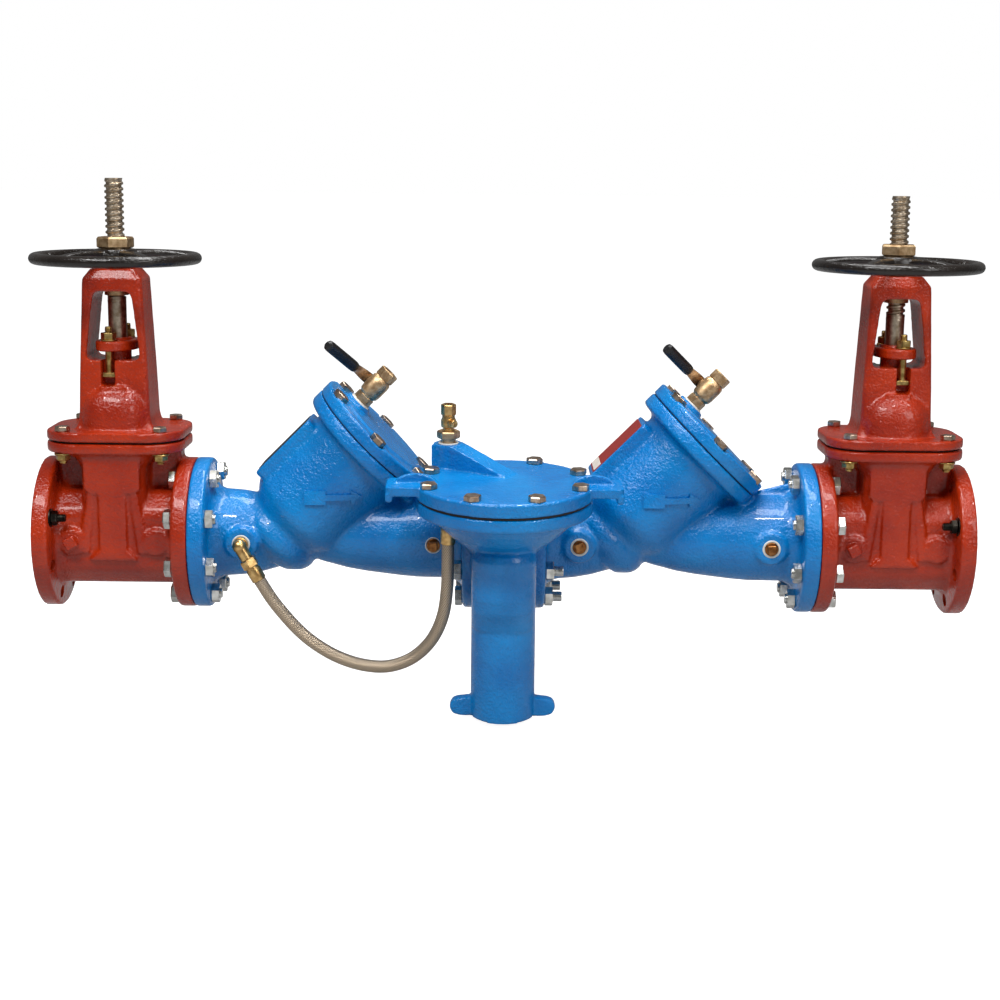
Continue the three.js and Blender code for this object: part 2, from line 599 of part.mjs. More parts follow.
function hoseFittings() {
  const group = new THREE.Group();
  const down = () => frameAlong(hoseDirection, ELBOW.x, ELBOW.y, ELBOW.z);
  group.add(
    mesh('hose_elbow', join(rod(8.6, -88, -52, 12, alongY(ELBOW.x, ELBOW.z)),
      solid(new THREE.SphereGeometry(10.5, 8, 6), down()), rod(8.5, 0, 24, 12, down())), BRASS()),
    mesh('hose_nut_lower', join(hex(22, 24 + GAP, 38, down()), rod(11, 37, 58.2, 14, down())), BRASS()),
    mesh('sensing_hose', sensingHose(), BRAID()),
  );
  return group;
}

// ---- assembly ----
const assembly = new THREE.Group();
const firstOutlet = -SPOOL_HALF - GAP - FIRST_AXIS_X;
const secondInlet = SPOOL_HALF + GAP - SECOND_AXIS_X;
assembly.add(
  gateValve('inlet', -1, 0),
  checkValve('first', FIRST_AXIS_X, {
    body: checkBody(FIRST_AXIS_X, -JOINT_X - FIRST_AXIS_X, firstOutlet,
      FLANGE_R, FLANGE_T + 1, CENTRE_FLANGE_R, CENTRE_FLANGE_T,
      [ELBOW.x - FIRST_AXIS_X, -106 - FIRST_AXIS_X], [ELBOW.x - FIRST_AXIS_X], false),
    plugs: [['first_outlet_plug', -106 - FIRST_AXIS_X]],
  }),
  reliefGroup(),
  checkValve('second', SECOND_AXIS_X, {
    body: checkBody(SECOND_AXIS_X, secondInlet, JOINT_X - SECOND_AXIS_X,
      CENTRE_FLANGE_R, CENTRE_FLANGE_T, FLANGE_R, FLANGE_T + 1,
      [113 - SECOND_AXIS_X, 400.6 - SECOND_AXIS_X], [113 - SECOND_AXIS_X, 400.6 - SECOND_AXIS_X], true),
    plugs: [['second_inlet_plug', 113 - SECOND_AXIS_X], ['second_outlet_plug', 400.6 - SECOND_AXIS_X]],
  }),
  gateValve('outlet', 1, OUTLET_STEM_DROP),
  hoseFittings(),
);

export default assembly;
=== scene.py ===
"""Looks of a flanged reduced-pressure backflow preventer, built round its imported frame.

Lengths in the classes are millimetres; every mesh is written in metres, in the frame's own axes.
+X is the flow, +Z is up, and -Y is the side that the relief valve hangs on.
"""

import logging
import math
from dataclasses import dataclass
from enum import Enum
from typing import Sequence

import bpy
import numpy as np
from mathutils import Matrix, Vector


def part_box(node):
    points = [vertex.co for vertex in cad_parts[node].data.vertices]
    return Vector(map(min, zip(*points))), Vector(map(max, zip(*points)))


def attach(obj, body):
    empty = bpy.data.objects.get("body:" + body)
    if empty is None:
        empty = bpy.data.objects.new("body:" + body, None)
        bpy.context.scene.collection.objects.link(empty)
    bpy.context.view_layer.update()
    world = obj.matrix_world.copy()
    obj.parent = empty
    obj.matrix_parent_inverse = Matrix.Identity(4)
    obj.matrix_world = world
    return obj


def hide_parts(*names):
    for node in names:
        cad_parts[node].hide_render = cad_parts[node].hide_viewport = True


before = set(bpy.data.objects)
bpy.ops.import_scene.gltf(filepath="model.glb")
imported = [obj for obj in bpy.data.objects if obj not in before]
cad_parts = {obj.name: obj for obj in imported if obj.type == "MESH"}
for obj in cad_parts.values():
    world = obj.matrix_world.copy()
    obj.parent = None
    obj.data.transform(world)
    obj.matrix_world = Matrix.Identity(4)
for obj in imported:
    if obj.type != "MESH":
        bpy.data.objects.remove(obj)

log = logging.getLogger("backflow_preventer")

MM = 0.001
IDENTITY = np.eye(4)
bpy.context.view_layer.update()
# The pipe's bore and its flanges, in mm and degrees.
BORE_R = 50.8
BOLT_CIRCLE_R = 95.25
BOLTS_PER_FLANGE = 8
FIRST_BOLT_ANGLE = 22.5
FLANGE_R = 114.3
Point = tuple[float, float, float]


class Body(str, Enum):
    """The moving bodies of the frame that pieces ride on."""

    VALVE = "valve"
    INLET_WHEEL = "inlet_wheel"
    INLET_RISING = "inlet_rising"
    OUTLET_WHEEL = "outlet_wheel"
    OUTLET_RISING = "outlet_rising"
    FIRST_LEVER = "first_lever"
    SECOND_LEVER = "second_lever"
    BLEED = "bleed_screw"


# ---------------------------------------------------------------- frames


def place(origin: Sequence[float] = (0, 0, 0), along: Sequence[float] = (0, 0, 1),
          towards: Sequence[float] = (1, 0, 0)) -> np.ndarray:
    """Makes the frame whose +Z runs along one direction and whose +X leans towards another.

    Args:
        origin: Where the frame stands, in mm.
        along: Direction of its +Z.
        towards: Direction that its +X leans to.

    Returns:
        A 4 by 4 matrix.
    """
    z = np.array(along, float) / np.linalg.norm(along)
    x = np.array(towards, float) - np.dot(towards, z) * z
    if np.linalg.norm(x) < 1e-6:
        x = np.array((0.0, 1.0, 0.0)) - z[1] * z
    x /= np.linalg.norm(x)
    out = np.eye(4)
    out[:3, 0], out[:3, 1], out[:3, 2], out[:3, 3] = x, np.cross(z, x), z, origin
    return out


def along_x(x: float = 0, y: float = 0, z: float = 0) -> np.ndarray:
    """Frame with +Z along the pipe, its +X along +Y."""
    return place((x, y, z), (1, 0, 0), (0, 1, 0))


def along_y(x: float = 0, y: float = 0, z: float = 0) -> np.ndarray:
    """Frame with +Z away from the front, its +X along +X."""
    return place((x, y, z), (0, 1, 0), (1, 0, 0))


def front_face() -> np.ndarray:
    """Frame of what is drawn on the front: +X to the right, +Y up, +Z towards the viewer."""
    return place((0, 0, 0), (0, -1, 0), (1, 0, 0))


def shift(x: float = 0, y: float = 0, z: float = 0) -> np.ndarray:
    """Plain move, in mm."""
    return place((x, y, z))


def tilt_x(angle: float) -> np.ndarray:
    """Turn about +X by an angle in radians."""
    c, s = math.cos(angle), math.sin(angle)
    out = np.eye(4)
    out[1:3, 1:3] = ((c, -s), (s, c))
    return out


def spin(angle: float) -> np.ndarray:
    """Turn about +Z by an angle in radians."""
    c, s = math.cos(angle), math.sin(angle)
    out = np.eye(4)
    out[:2, :2] = ((c, -s), (s, c))
    return out


# ---------------------------------------------------------------- surfaces


def revolve(profile: Sequence[tuple[float, float]], sides: int = 72) -> np.ndarray:
    """Surface of turning: each (radius, height) of the profile is swept round +Z.

    Args:
        profile: Radius and height pairs, from one flat end to the other.
        sides: Columns round the axis.

    Returns:
        A grid of points, one row for each pair.
    """
    r, z = np.array(profile, float).T
    a = np.arange(sides) * 2 * math.pi / sides
    return np.stack((np.outer(r, np.cos(a)), np.outer(r, np.sin(a)), np.repeat(z[:, None], sides, 1)), -1)


def loft(outlines: Sequence[np.ndarray], heights: Sequence[float]) -> np.ndarray:
    """Surface through flat outlines: row k is outline k lifted to height k."""
    flat = np.stack(outlines)
    z = np.broadcast_to(np.array(heights, float)[:, None, None], flat.shape[:2] + (1,))
    return np.concatenate((flat, z), -1)


def rounded_rect(half_x: float, half_y: float, radius: float, steps: int = 7,
                 centre: tuple[float, float] = (0, 0)) -> np.ndarray:
    """Outline of a rectangle whose corners are quarter circles, as points going round once."""
    a = np.linspace(0, math.pi / 2, steps)
    quarter = np.stack((np.cos(a), np.sin(a)), -1) * radius
    turns = [np.array(((math.cos(t), -math.sin(t)), (math.sin(t), math.cos(t))))
             for t in (0, math.pi / 2, math.pi, 1.5 * math.pi)]
    cx, cy = half_x - radius, half_y - radius
    corners = ((cx, cy), (-cx, cy), (-cx, -cy), (cx, -cy))
    return np.concatenate([quarter @ m.T + c for m, c in zip(turns, corners)]) + np.array(centre)


def polygon(points: Sequence[tuple[float, float]], radius: float = 0.0, steps: int = 5) -> np.ndarray:
    """Outline through corner points, each corner swapped for a short curve of the given reach.

    A corner's curve is the quadratic Bezier from `radius` before the corner to `radius` after it.
    """
    p = np.array(points, float)
    if radius <= 0:
        return p
    before = np.roll(p, 1, 0) - p
    after = np.roll(p, -1, 0) - p
    reach = lambda d: np.minimum(radius, 0.45 * np.linalg.norm(d, axis=1))[:, None]
    a = p + before / np.linalg.norm(before, axis=1)[:, None] * reach(before)
    b = p + after / np.linalg.norm(after, axis=1)[:, None] * reach(after)
    t = np.linspace(0, 1, steps)[None, :, None]
    return ((1 - t) ** 2 * a[:, None] + 2 * t * (1 - t) * p[:, None] + t**2 * b[:, None]).reshape(-1, 2)


def slab(outline: np.ndarray, z0: float, z1: float, bevel: float = 0.0) -> np.ndarray:
    """Flat plate of one outline, with its two edges broken by drawing the end rows in."""
    centre = outline.mean(0)
    if bevel <= 0:
        return loft((outline, outline), (z0, z1))
    size = np.abs(outline - centre).max(0)
    drawn = (outline - centre) * (1 - bevel / size) + centre
    return loft((drawn, outline, outline, drawn), (z0, z0 + bevel, z1 - bevel, z1))


def ball(radii: Sequence[float], rows: int = 24, sides: int = 40) -> np.ndarray:
    """Ellipsoid: rows of latitude from just above one pole to just below the other."""
    a = np.linspace(-math.pi / 2 + 0.03, math.pi / 2 - 0.03, rows)
    grid = revolve(np.stack((np.cos(a), np.sin(a)), -1), sides)
    return grid * np.array(radii, float)


def sweep(path: np.ndarray, section: np.ndarray, up: Sequence[float] = (0, 0, 1)) -> np.ndarray:
    """Surface of a section carried along a path.

    At each path point the section's x runs across the path and its y runs as near to `up` as the
    path lets it: across = tangent x up, over = across x tangent.

    Args:
        path: Points, in mm.
        section: Closed outline, either one for the whole path or one for each path point.
        up: Direction that the section's y leans to.

    Returns:
        A grid of points, one row for each path point.
    """
    tangent = np.gradient(path, axis=0)
    tangent /= np.linalg.norm(tangent, axis=1)[:, None]
    across = np.cross(tangent, np.array(up, float))
    across /= np.linalg.norm(across, axis=1)[:, None]
    over = np.cross(across, tangent)
    section = np.broadcast_to(section, (len(path),) + section.shape[-2:])
    return path[:, None] + section[..., :1] * across[:, None] + section[..., 1:] * over[:, None]


def circle(radius: float, sides: int = 16) -> np.ndarray:
    """Outline of a circle."""
    a = np.arange(sides) * 2 * math.pi / sides
    return np.stack((np.cos(a), np.sin(a)), -1) * radius


def smooth_path(points: Sequence[Point], per_span: int) -> np.ndarray:
    """Catmull-Rom curve: each span is the cubic whose end slopes are half the neighbours' distance."""
    p = np.array(points, float)
    p = np.concatenate((2 * p[:1] - p[1:2], p, 2 * p[-1:] - p[-2:-1]))
    t = np.linspace(0, 1, per_span, endpoint=False)[None, :, None]
    a, b, c, d = (p[k:len(p) - 3 + k, None] for k in range(4))
    curve = 0.5 * (2 * b + (c - a) * t + (2 * a - 5 * b + 4 * c - d) * t**2 + (3 * b - a - 3 * c + d) * t**3)
    return np.concatenate((curve.reshape(-1, 3), p[-2:-1]))


def thread(radius: float, depth: float, pitch: float, z0: float, z1: float, sides: int = 32) -> np.ndarray:
    """Screw thread: the radius dips by a flat-topped wave of (height / pitch - angle / full turn)."""
    z = np.arange(z0, z1, pitch / 14)
    a = np.arange(sides) * 2 * math.pi / sides
    wave = np.clip(0.5 + 0.95 * np.cos(2 * math.pi * z[:, None] / pitch - a), 0, 1)
    ends = np.clip(np.minimum(z - z0, z1 - z) / pitch, 0, 1)[:, None]
    r = radius - depth * (1 - wave) * ends - 1.2 * (1 - ends) * (z > (z0 + z1) / 2)[:, None]
    return np.stack((r * np.cos(a), r * np.sin(a), np.repeat(z[:, None], sides, 1)), -1)


class Surfaces:
    """Collects closed surfaces in millimetres, each facing out, for one mesh in metres."""

    def __init__(self) -> None:
        """Starts with no surface."""
        self.points: list[np.ndarray] = []
        self.faces: list[list[int]] = []
        self.uv: list[np.ndarray] = []
        self.count = 0

    def add(self, grid: np.ndarray, at: np.ndarray = IDENTITY, ring: bool = False) -> "Surfaces":
        """Adds a grid whose columns go round; its two end rows are closed with fans.

        Args:
            grid: Rows by columns of points.
            at: Frame that the grid stands in.
            ring: The rows go round too, so there are no ends to close.

        Returns:
            This collection, so that calls can be chained.
        """
        rows, cols = grid.shape[:2]
        flat = grid.reshape(-1, 3)
        r, c = np.meshgrid(np.arange(rows if ring else rows - 1), np.arange(cols), indexing="ij")
        r2, c2 = (r + 1) % rows, (c + 1) % cols
        quads = np.stack((r * cols + c, r * cols + c2, r2 * cols + c2, r2 * cols + c), -1).reshape(-1, 4)
        tris = np.zeros((0, 3), int)
        if not ring:
            flat = np.concatenate((flat, grid[0].mean(0)[None], grid[-1].mean(0)[None]))
            k = np.arange(cols)
            k2, last = (k + 1) % cols, (rows - 1) * cols
            first_fan = np.stack((k2, k, np.full(cols, rows * cols)), -1)
            last_fan = np.stack((last + k, last + k2, np.full(cols, rows * cols + 1)), -1)
            tris = np.concatenate((first_fan, last_fan))
        flat = flat @ at[:3, :3].T + at[:3, 3]
        fans = np.concatenate((quads[:, :3], quads[:, (0, 2, 3)], tris))
        corner = flat[fans] - flat.mean(0)
        volume = np.einsum("ij,ij->i", corner[:, 0], np.cross(corner[:, 1], corner[:, 2])).sum()
        step = -1 if volume < 0 else 1
        self.faces += (quads[:, ::step] + self.count).tolist() + (tris[:, ::step] + self.count).tolist()
        self.points.append(flat)
        self.count += len(flat)
        return self

    def rod(self, radius: float, z0: float, z1: float, at: np.ndarray = IDENTITY, sides: int = 64,
            bevel: float = 0.0) -> "Surfaces":
        """Adds a straight round bar."""
        b = min(bevel, 0.45 * (z1 - z0))
        profile = [(radius - b, z0), (radius, z0 + b), (radius, z1 - b), (radius - b, z1)]
        return self.add(revolve(profile if b > 0 else [(radius, z0), (radius, z1)], sides), at)

    def tube(self, inner: float, outer: float, z0: float, z1: float, at: np.ndarray = IDENTITY,
             sides: int = 64, bevel: float = 0.4) -> "Surfaces":
        """Adds a ring with a straight bore."""
        b = bevel
        profile = [(inner, z0 + b), (inner + b, z0), (outer - b, z0), (outer, z0 + b), (outer, z1 - b),
                   (outer - b, z1), (inner + b, z1), (inner, z1 - b)]
        return self.add(revolve(profile, sides), at, ring=True)

    def hexagon(self, flats: float, z0: float, z1: float, at: np.ndarray = IDENTITY,
                turn: float = 0.0) -> "Surfaces":
        """Adds a six-sided bar whose corners are chamfered at both ends."""
        r, c = flats / math.sqrt(3), min(0.06 * flats, 0.3 * (z1 - z0))
        profile = [(r * 0.92, z0), (r, z0 + c), (r, z1 - c), (r * 0.92, z1)]
        return self.add(revolve(profile, 6), at @ spin(turn))

    def box(self, x: tuple[float, float], y: tuple[float, float], z: tuple[float, float],
            at: np.ndarray = IDENTITY, edge: float = 1.0) -> "Surfaces":
        """Adds a block with slightly rounded upright edges."""
        outline = rounded_rect((x[1] - x[0]) / 2, (y[1] - y[0]) / 2, edge, 3,
                               ((x[0] + x[1]) / 2, (y[0] + y[1]) / 2))
        return self.add(slab(outline, z[0], z[1], min(edge, 0.3 * (z[1] - z[0]))), at)

    def mesh(self, name: str) -> bpy.types.Object:
        """Makes the mesh object, in metres, with its place in its points."""
        data = bpy.data.meshes.new(name)
        data.from_pydata(np.concatenate(self.points) * MM, [], self.faces)
        data.update()
        obj = bpy.data.objects.new(name, data)
        bpy.context.scene.collection.objects.link(obj)
        return obj


# ---------------------------------------------------------------- pieces


def shade(obj: bpy.types.Object, angle: float = 32.0) -> None:
    """Shades a mesh smooth, with sharp edges where faces turn by more than the angle in degrees."""
    obj.data.polygons.foreach_set("use_smooth", np.ones(len(obj.data.polygons), bool))
    obj.data.set_sharp_from_angle(angle=math.radians(angle))


def settle(obj: bpy.types.Object) -> None:
    """Swaps a mesh for the result of its modifiers."""
    graph = bpy.context.evaluated_depsgraph_get()
    data = bpy.data.meshes.new_from_object(obj.evaluated_get(graph))
    obj.modifiers.clear()
    obj.data = data
    data.name = obj.name


def carve(obj: bpy.types.Object, cutter: "Surfaces | None", crossing: bool = False) -> None:
    """Cuts the collected surfaces out of a mesh.

    Args:
        obj: The mesh to cut.
        cutter: What is taken away, or nothing.
        crossing: The mesh or the cutter is made of surfaces that pass through each other.
    """
    if cutter is None:
        return
    tool = cutter.mesh(obj.name + "_cutter")
    cut = obj.modifiers.new("cut", "BOOLEAN")
    cut.operation, cut.solver, cut.object, cut.use_self = "DIFFERENCE", "EXACT", tool, crossing
    settle(obj)
    bpy.data.objects.remove(tool)


def cast(name: str, solid: Surfaces, voxel: float, rounds: int = 5, hollow: "Surfaces | None" = None,
         machined: "Surfaces | None" = None, crossing: bool = False) -> bpy.types.Object:
    """Makes an iron casting: overlapping surfaces become one skin whose corners are rounded.

    Args:
        name: Name of the piece.
        solid: Surfaces that the casting fills.
        voxel: Size of the skin's cells, in mm.
        rounds: Passes of smoothing, each of which rounds edges a little more.
        hollow: What the mould leaves out, so its edges are rounded too.
        machined: What is cut afterwards, with crisp edges.
        crossing: The cutters pass through each other.

    Returns:
        The finished object.
    """
    size = voxel * MM * 1.0
    obj = solid.mesh(name)
    for cutter in (None,) if hollow is None else (None, hollow):
        carve(obj, cutter, crossing)
        skin = obj.modifiers.new("skin", "REMESH")
        skin.mode, skin.voxel_size = "VOXEL", size
        settle(obj)
    soften = obj.modifiers.new("soften", "SMOOTH")
    soften.factor, soften.iterations = 0.5, rounds
    settle(obj)
    carve(obj, machined, crossing)
    shade(obj, 40)
    return obj


class Finisher:
    """Dresses pieces: gives them a material and a body, and hides the CAD nodes that they stand for."""

    def __init__(self) -> None:
        """Starts with no piece."""
        self.made: list[str] = []

    def dress(self, obj: bpy.types.Object, material: bpy.types.Material, body: Body, slot: str,
              *nodes: str) -> bpy.types.Object:
        """Finishes one piece.

        Args:
            obj: The piece.
            material: Its finish.
            body: The body it rides on.
            slot: The record's material slot; it is not used.
            nodes: CAD nodes that it replaces.

        Returns:
            The same object.
        """
        obj.data.materials.clear()
        obj.data.materials.append(material)
        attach(obj, body.value)
        if nodes:
            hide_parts(*nodes)
        self.made.append(obj.name)
        log.info("%s: %d faces", obj.name, len(obj.data.polygons))
        return obj

    def turned(self, name: str, shape: Surfaces, material: bpy.types.Material, body: Body, slot: str,
               *nodes: str) -> bpy.types.Object:
        """Makes and finishes a machined piece, which keeps its crisp edges."""
        obj = shape.mesh(name)
        shade(obj)
        return self.dress(obj, material, body, slot, *nodes)


# ---------------------------------------------------------------- finishes


class Nodes:
    """A material's node tree, with short calls for the few nodes that the finishes need."""

    def __init__(self, name: str) -> None:
        """Starts a material with its shader."""
        self.material = bpy.data.materials.new(name)
        self.material.use_nodes = True
        self.tree = self.material.node_tree
        self.shader = self.tree.nodes["Principled BSDF"]

    def add(self, kind: str, **values: object) -> bpy.types.Node:
        """Adds a node; each value is one of its properties or sockets."""
        node = self.tree.nodes.new(kind)
        for key, value in values.items():
            if hasattr(node, key):
                setattr(node, key, value)
            else:
                node.inputs[key.replace("_", " ").title()].default_value = value
        return node

    def link(self, source: bpy.types.NodeSocket, target: bpy.types.NodeSocket) -> None:
        """Joins two sockets."""
        self.tree.links.new(source, target)

    def noise(self, scale: float, detail: float = 2.0) -> bpy.types.Node:
        """Adds noise on the piece's own coordinates, in metres."""
        where = self.add("ShaderNodeTexCoord")
        noise = self.add("ShaderNodeTexNoise", scale=scale, detail=detail)
        self.link(where.outputs["Object"], noise.inputs["Vector"])
        return noise

    def bump(self, height: bpy.types.NodeSocket, strength: float, distance: float,
             under: "bpy.types.Node | None" = None) -> bpy.types.Node:
        """Adds relief to the shader's normal, over an earlier relief if there is one."""
        bump = self.add("ShaderNodeBump")
        bump.inputs["Strength"].default_value = strength
        bump.inputs["Distance"].default_value = distance
        self.link(height, bump.inputs["Height"])
        if under is not None:
            self.link(under.outputs["Normal"], bump.inputs["Normal"])
        self.link(bump.outputs["Normal"], self.shader.inputs["Normal"])
        return bump

    def blend(self, factor: bpy.types.NodeSocket, low: float, high: float, first: Sequence[float],
              second: Sequence[float]) -> None:
        """Colours the shader between two colours as the factor goes from low to high."""
        ramp = self.add("ShaderNodeValToRGB")
        ramp.color_ramp.elements[0].position, ramp.color_ramp.elements[1].position = low, high
        ramp.color_ramp.elements[0].color = (*first, 1)
        ramp.color_ramp.elements[1].color = (*second, 1)
        self.link(factor, ramp.inputs["Fac"])
        self.link(ramp.outputs["Color"], self.shader.inputs["Base Color"])


def linear(red: int, green: int, blue: int) -> tuple[float, float, float]:
    """Screen colour from 0 to 255 as linear light."""
    c = np.array((red, green, blue)) / 255
    return tuple(float(v) for v in np.where(c <= 0.04045, c / 12.92, ((c + 0.055) / 1.055) ** 2.4))


@dataclass(frozen=True)
class Epoxy:
    """Thick glossy paint over rough cast iron, with an orange-peel skin."""

    name: str
    light: tuple[float, float, float]
    deep: tuple[float, float, float]
    peel: float = 0.7
    gloss: float = 0.24

    def material(self) -> bpy.types.Material:
        """Makes the material."""
        n = Nodes(self.name)
        n.shader.inputs["Roughness"].default_value = self.gloss
        n.shader.inputs["Specular IOR Level"].default_value = 0.35
        n.shader.inputs["Coat Weight"].default_value = 0.3
        n.shader.inputs["Coat Roughness"].default_value = 0.04
        n.blend(n.noise(14, 4).outputs["Fac"], 0.35, 0.7, self.deep, self.light)
        coarse = n.bump(n.noise(85, 2).outputs["Fac"], 0.5, 0.003)
        n.bump(n.noise(270, 2).outputs["Fac"], self.peel, 0.0024, coarse)
        return n.material


@dataclass(frozen=True)
class Metal:
    """Bare or plated metal with slight stains and a fine grain."""

    name: str
    light: tuple[float, float, float]
    dark: tuple[float, float, float]
    roughness: float = 0.3
    grain: float = 0.1

    def material(self) -> bpy.types.Material:
        """Makes the material."""
        n = Nodes(self.name)
        n.shader.inputs["Metallic"].default_value = 1.0
        n.shader.inputs["Roughness"].default_value = self.roughness
        n.blend(n.noise(130, 5).outputs["Fac"], 0.38, 0.66, self.dark, self.light)
        n.bump(n.noise(900, 3).outputs["Fac"], self.grain, 0.0003)
        return n.material


@dataclass(frozen=True)
class Plain:
    """Rubber, vinyl, sealant or label stock: one colour with a faint grain."""

    name: str
    colour: tuple[float, float, float]
    roughness: float = 0.6
    grain: float = 0.08

    def material(self) -> bpy.types.Material:
        """Makes the material."""
        n = Nodes(self.name)
        n.shader.inputs["Roughness"].default_value = self.roughness
        dim = tuple(0.75 * c for c in self.colour)
        n.blend(n.noise(160, 3).outputs["Fac"], 0.3, 0.7, dim, self.colour)
        n.bump(n.noise(700, 2).outputs["Fac"], self.grain, 0.0003)
        return n.material


@dataclass(frozen=True)
class Braid:
    """Woven wire: two families of strands cross on the hose's own UV map."""

    name: str
    wire: tuple[float, float, float]
    gap: tuple[float, float, float]
    strands: int = 20
    per_metre: float = 215.0

    def material(self) -> bpy.types.Material:
        """Makes the material. A strand is a crest of sin(2 pi (strands u +- per_metre w))."""
        n = Nodes(self.name)
        n.shader.inputs["Metallic"].default_value = 0.85
        n.shader.inputs["Roughness"].default_value = 0.38
        split = n.add("ShaderNodeSeparateXYZ")
        n.link(n.add("ShaderNodeTexCoord").outputs["UV"], split.inputs["Vector"])

        def math_node(operation: str, first: object, second: object) -> bpy.types.NodeSocket:
            """Adds one sum; each side is a number or a socket."""
            node = n.add("ShaderNodeMath")
            node.operation = operation
            for k, value in enumerate((first, second)):
                if isinstance(value, (int, float)):
                    node.inputs[k].default_value = value
                else:
                    n.link(value, node.inputs[k])
            return node.outputs[0]

        round_ = math_node("MULTIPLY", split.outputs["X"], 2 * math.pi * self.strands)
        down = math_node("MULTIPLY", split.outputs["Y"], 2 * math.pi * self.per_metre)
        one = math_node("SINE", math_node("ADD", round_, down), 0)
        other = math_node("SINE", math_node("SUBTRACT", round_, down), 0)
        crest = math_node("MAXIMUM", one, other)
        n.blend(crest, 0.05, 0.75, self.gap, self.wire)
        n.bump(crest, 0.5, 0.0006)
        return n.material


class Finishes:
    """All materials of the object, made once."""

    def __init__(self) -> None:
        """Makes every finish."""
        self.blue = Epoxy("blue_epoxy", linear(0, 130, 202), linear(0, 110, 182)).material()
        self.red = Epoxy("red_epoxy", linear(174, 48, 12), linear(144, 31, 5)).material()
        self.black = Epoxy("black_enamel", linear(34, 28, 24), linear(20, 15, 12), 0.5, 0.24).material()
        self.bronze = Metal("bronze", linear(222, 192, 150), linear(176, 142, 104), 0.45).material()
        self.brass = Metal("brass", linear(226, 190, 128), linear(182, 144, 90), 0.33).material()
        self.stem = Metal("stem_bronze", linear(208, 194, 174), linear(156, 138, 116), 0.38).material()
        self.copper = Metal("coppery_stainless", linear(206, 188, 170), linear(158, 132, 110),
                            0.32).material()
        self.zinc = Metal("clear_zinc", linear(226, 226, 222), linear(186, 186, 180), 0.27).material()
        self.yellow = Metal("yellow_zinc", linear(220, 192, 124), linear(160, 130, 74), 0.33).material()
        self.steel = Metal("spring_steel", linear(190, 188, 184), linear(140, 138, 134), 0.3).material()
        self.plug = Metal("old_brass", linear(186, 130, 78), linear(122, 78, 44), 0.42).material()
        self.rubber = Plain("black_rubber", linear(22, 22, 23), 0.65).material()
        self.vinyl = Plain("black_vinyl", linear(20, 20, 22), 0.38).material()
        self.sealant = Plain("white_sealant", linear(226, 224, 216), 0.6).material()
        self.label = Plain("red_label", linear(150, 34, 26), 0.4).material()
        self.patch = Plain("pale_label", linear(222, 212, 200), 0.5).material()
        self.black_bolt = Metal("black_oxide", linear(60, 56, 50), linear(26, 24, 22), 0.4).material()
        self.braid = Braid("steel_braid", linear(204, 186, 162), linear(136, 118, 98)).material()


# ---------------------------------------------------------------- fasteners


@dataclass
class Fastener:
    """Hexagon bolt or nut on a washer; it stands on z = 0 of its frame and points up +Z."""

    flats: float = 24.0
    height: float = 10.0
    washer: float = 15.5
    shank: float = 7.5
    tail: float = 0.0

    def put(self, into: Surfaces, at: np.ndarray, turn: float = 0.3) -> None:
        """Adds the washer, the hexagon and, on a nut, the threaded end above it."""
        foot = 0.2
        if self.washer > 0:
            into.rod(self.washer, foot, foot + 2.2, at, 32, 0.4)
            foot += 2.3
        into.hexagon(self.flats, foot, foot + self.height, at, turn)
        if self.tail > 0:
            top = foot + self.height + self.tail
            into.add(thread(self.shank, 0.7, 2.0, foot + self.height - 1, top, 20), at)


def ring_places(radius: float, count: int, start: float) -> list[tuple[float, float]]:
    """Places on a circle, from the start angle in degrees."""
    angles = [math.radians(start + 360 * k / count) for k in range(count)]
    return [(radius * math.cos(a), radius * math.sin(a)) for a in angles]


# ---------------------------------------------------------------- gate valve


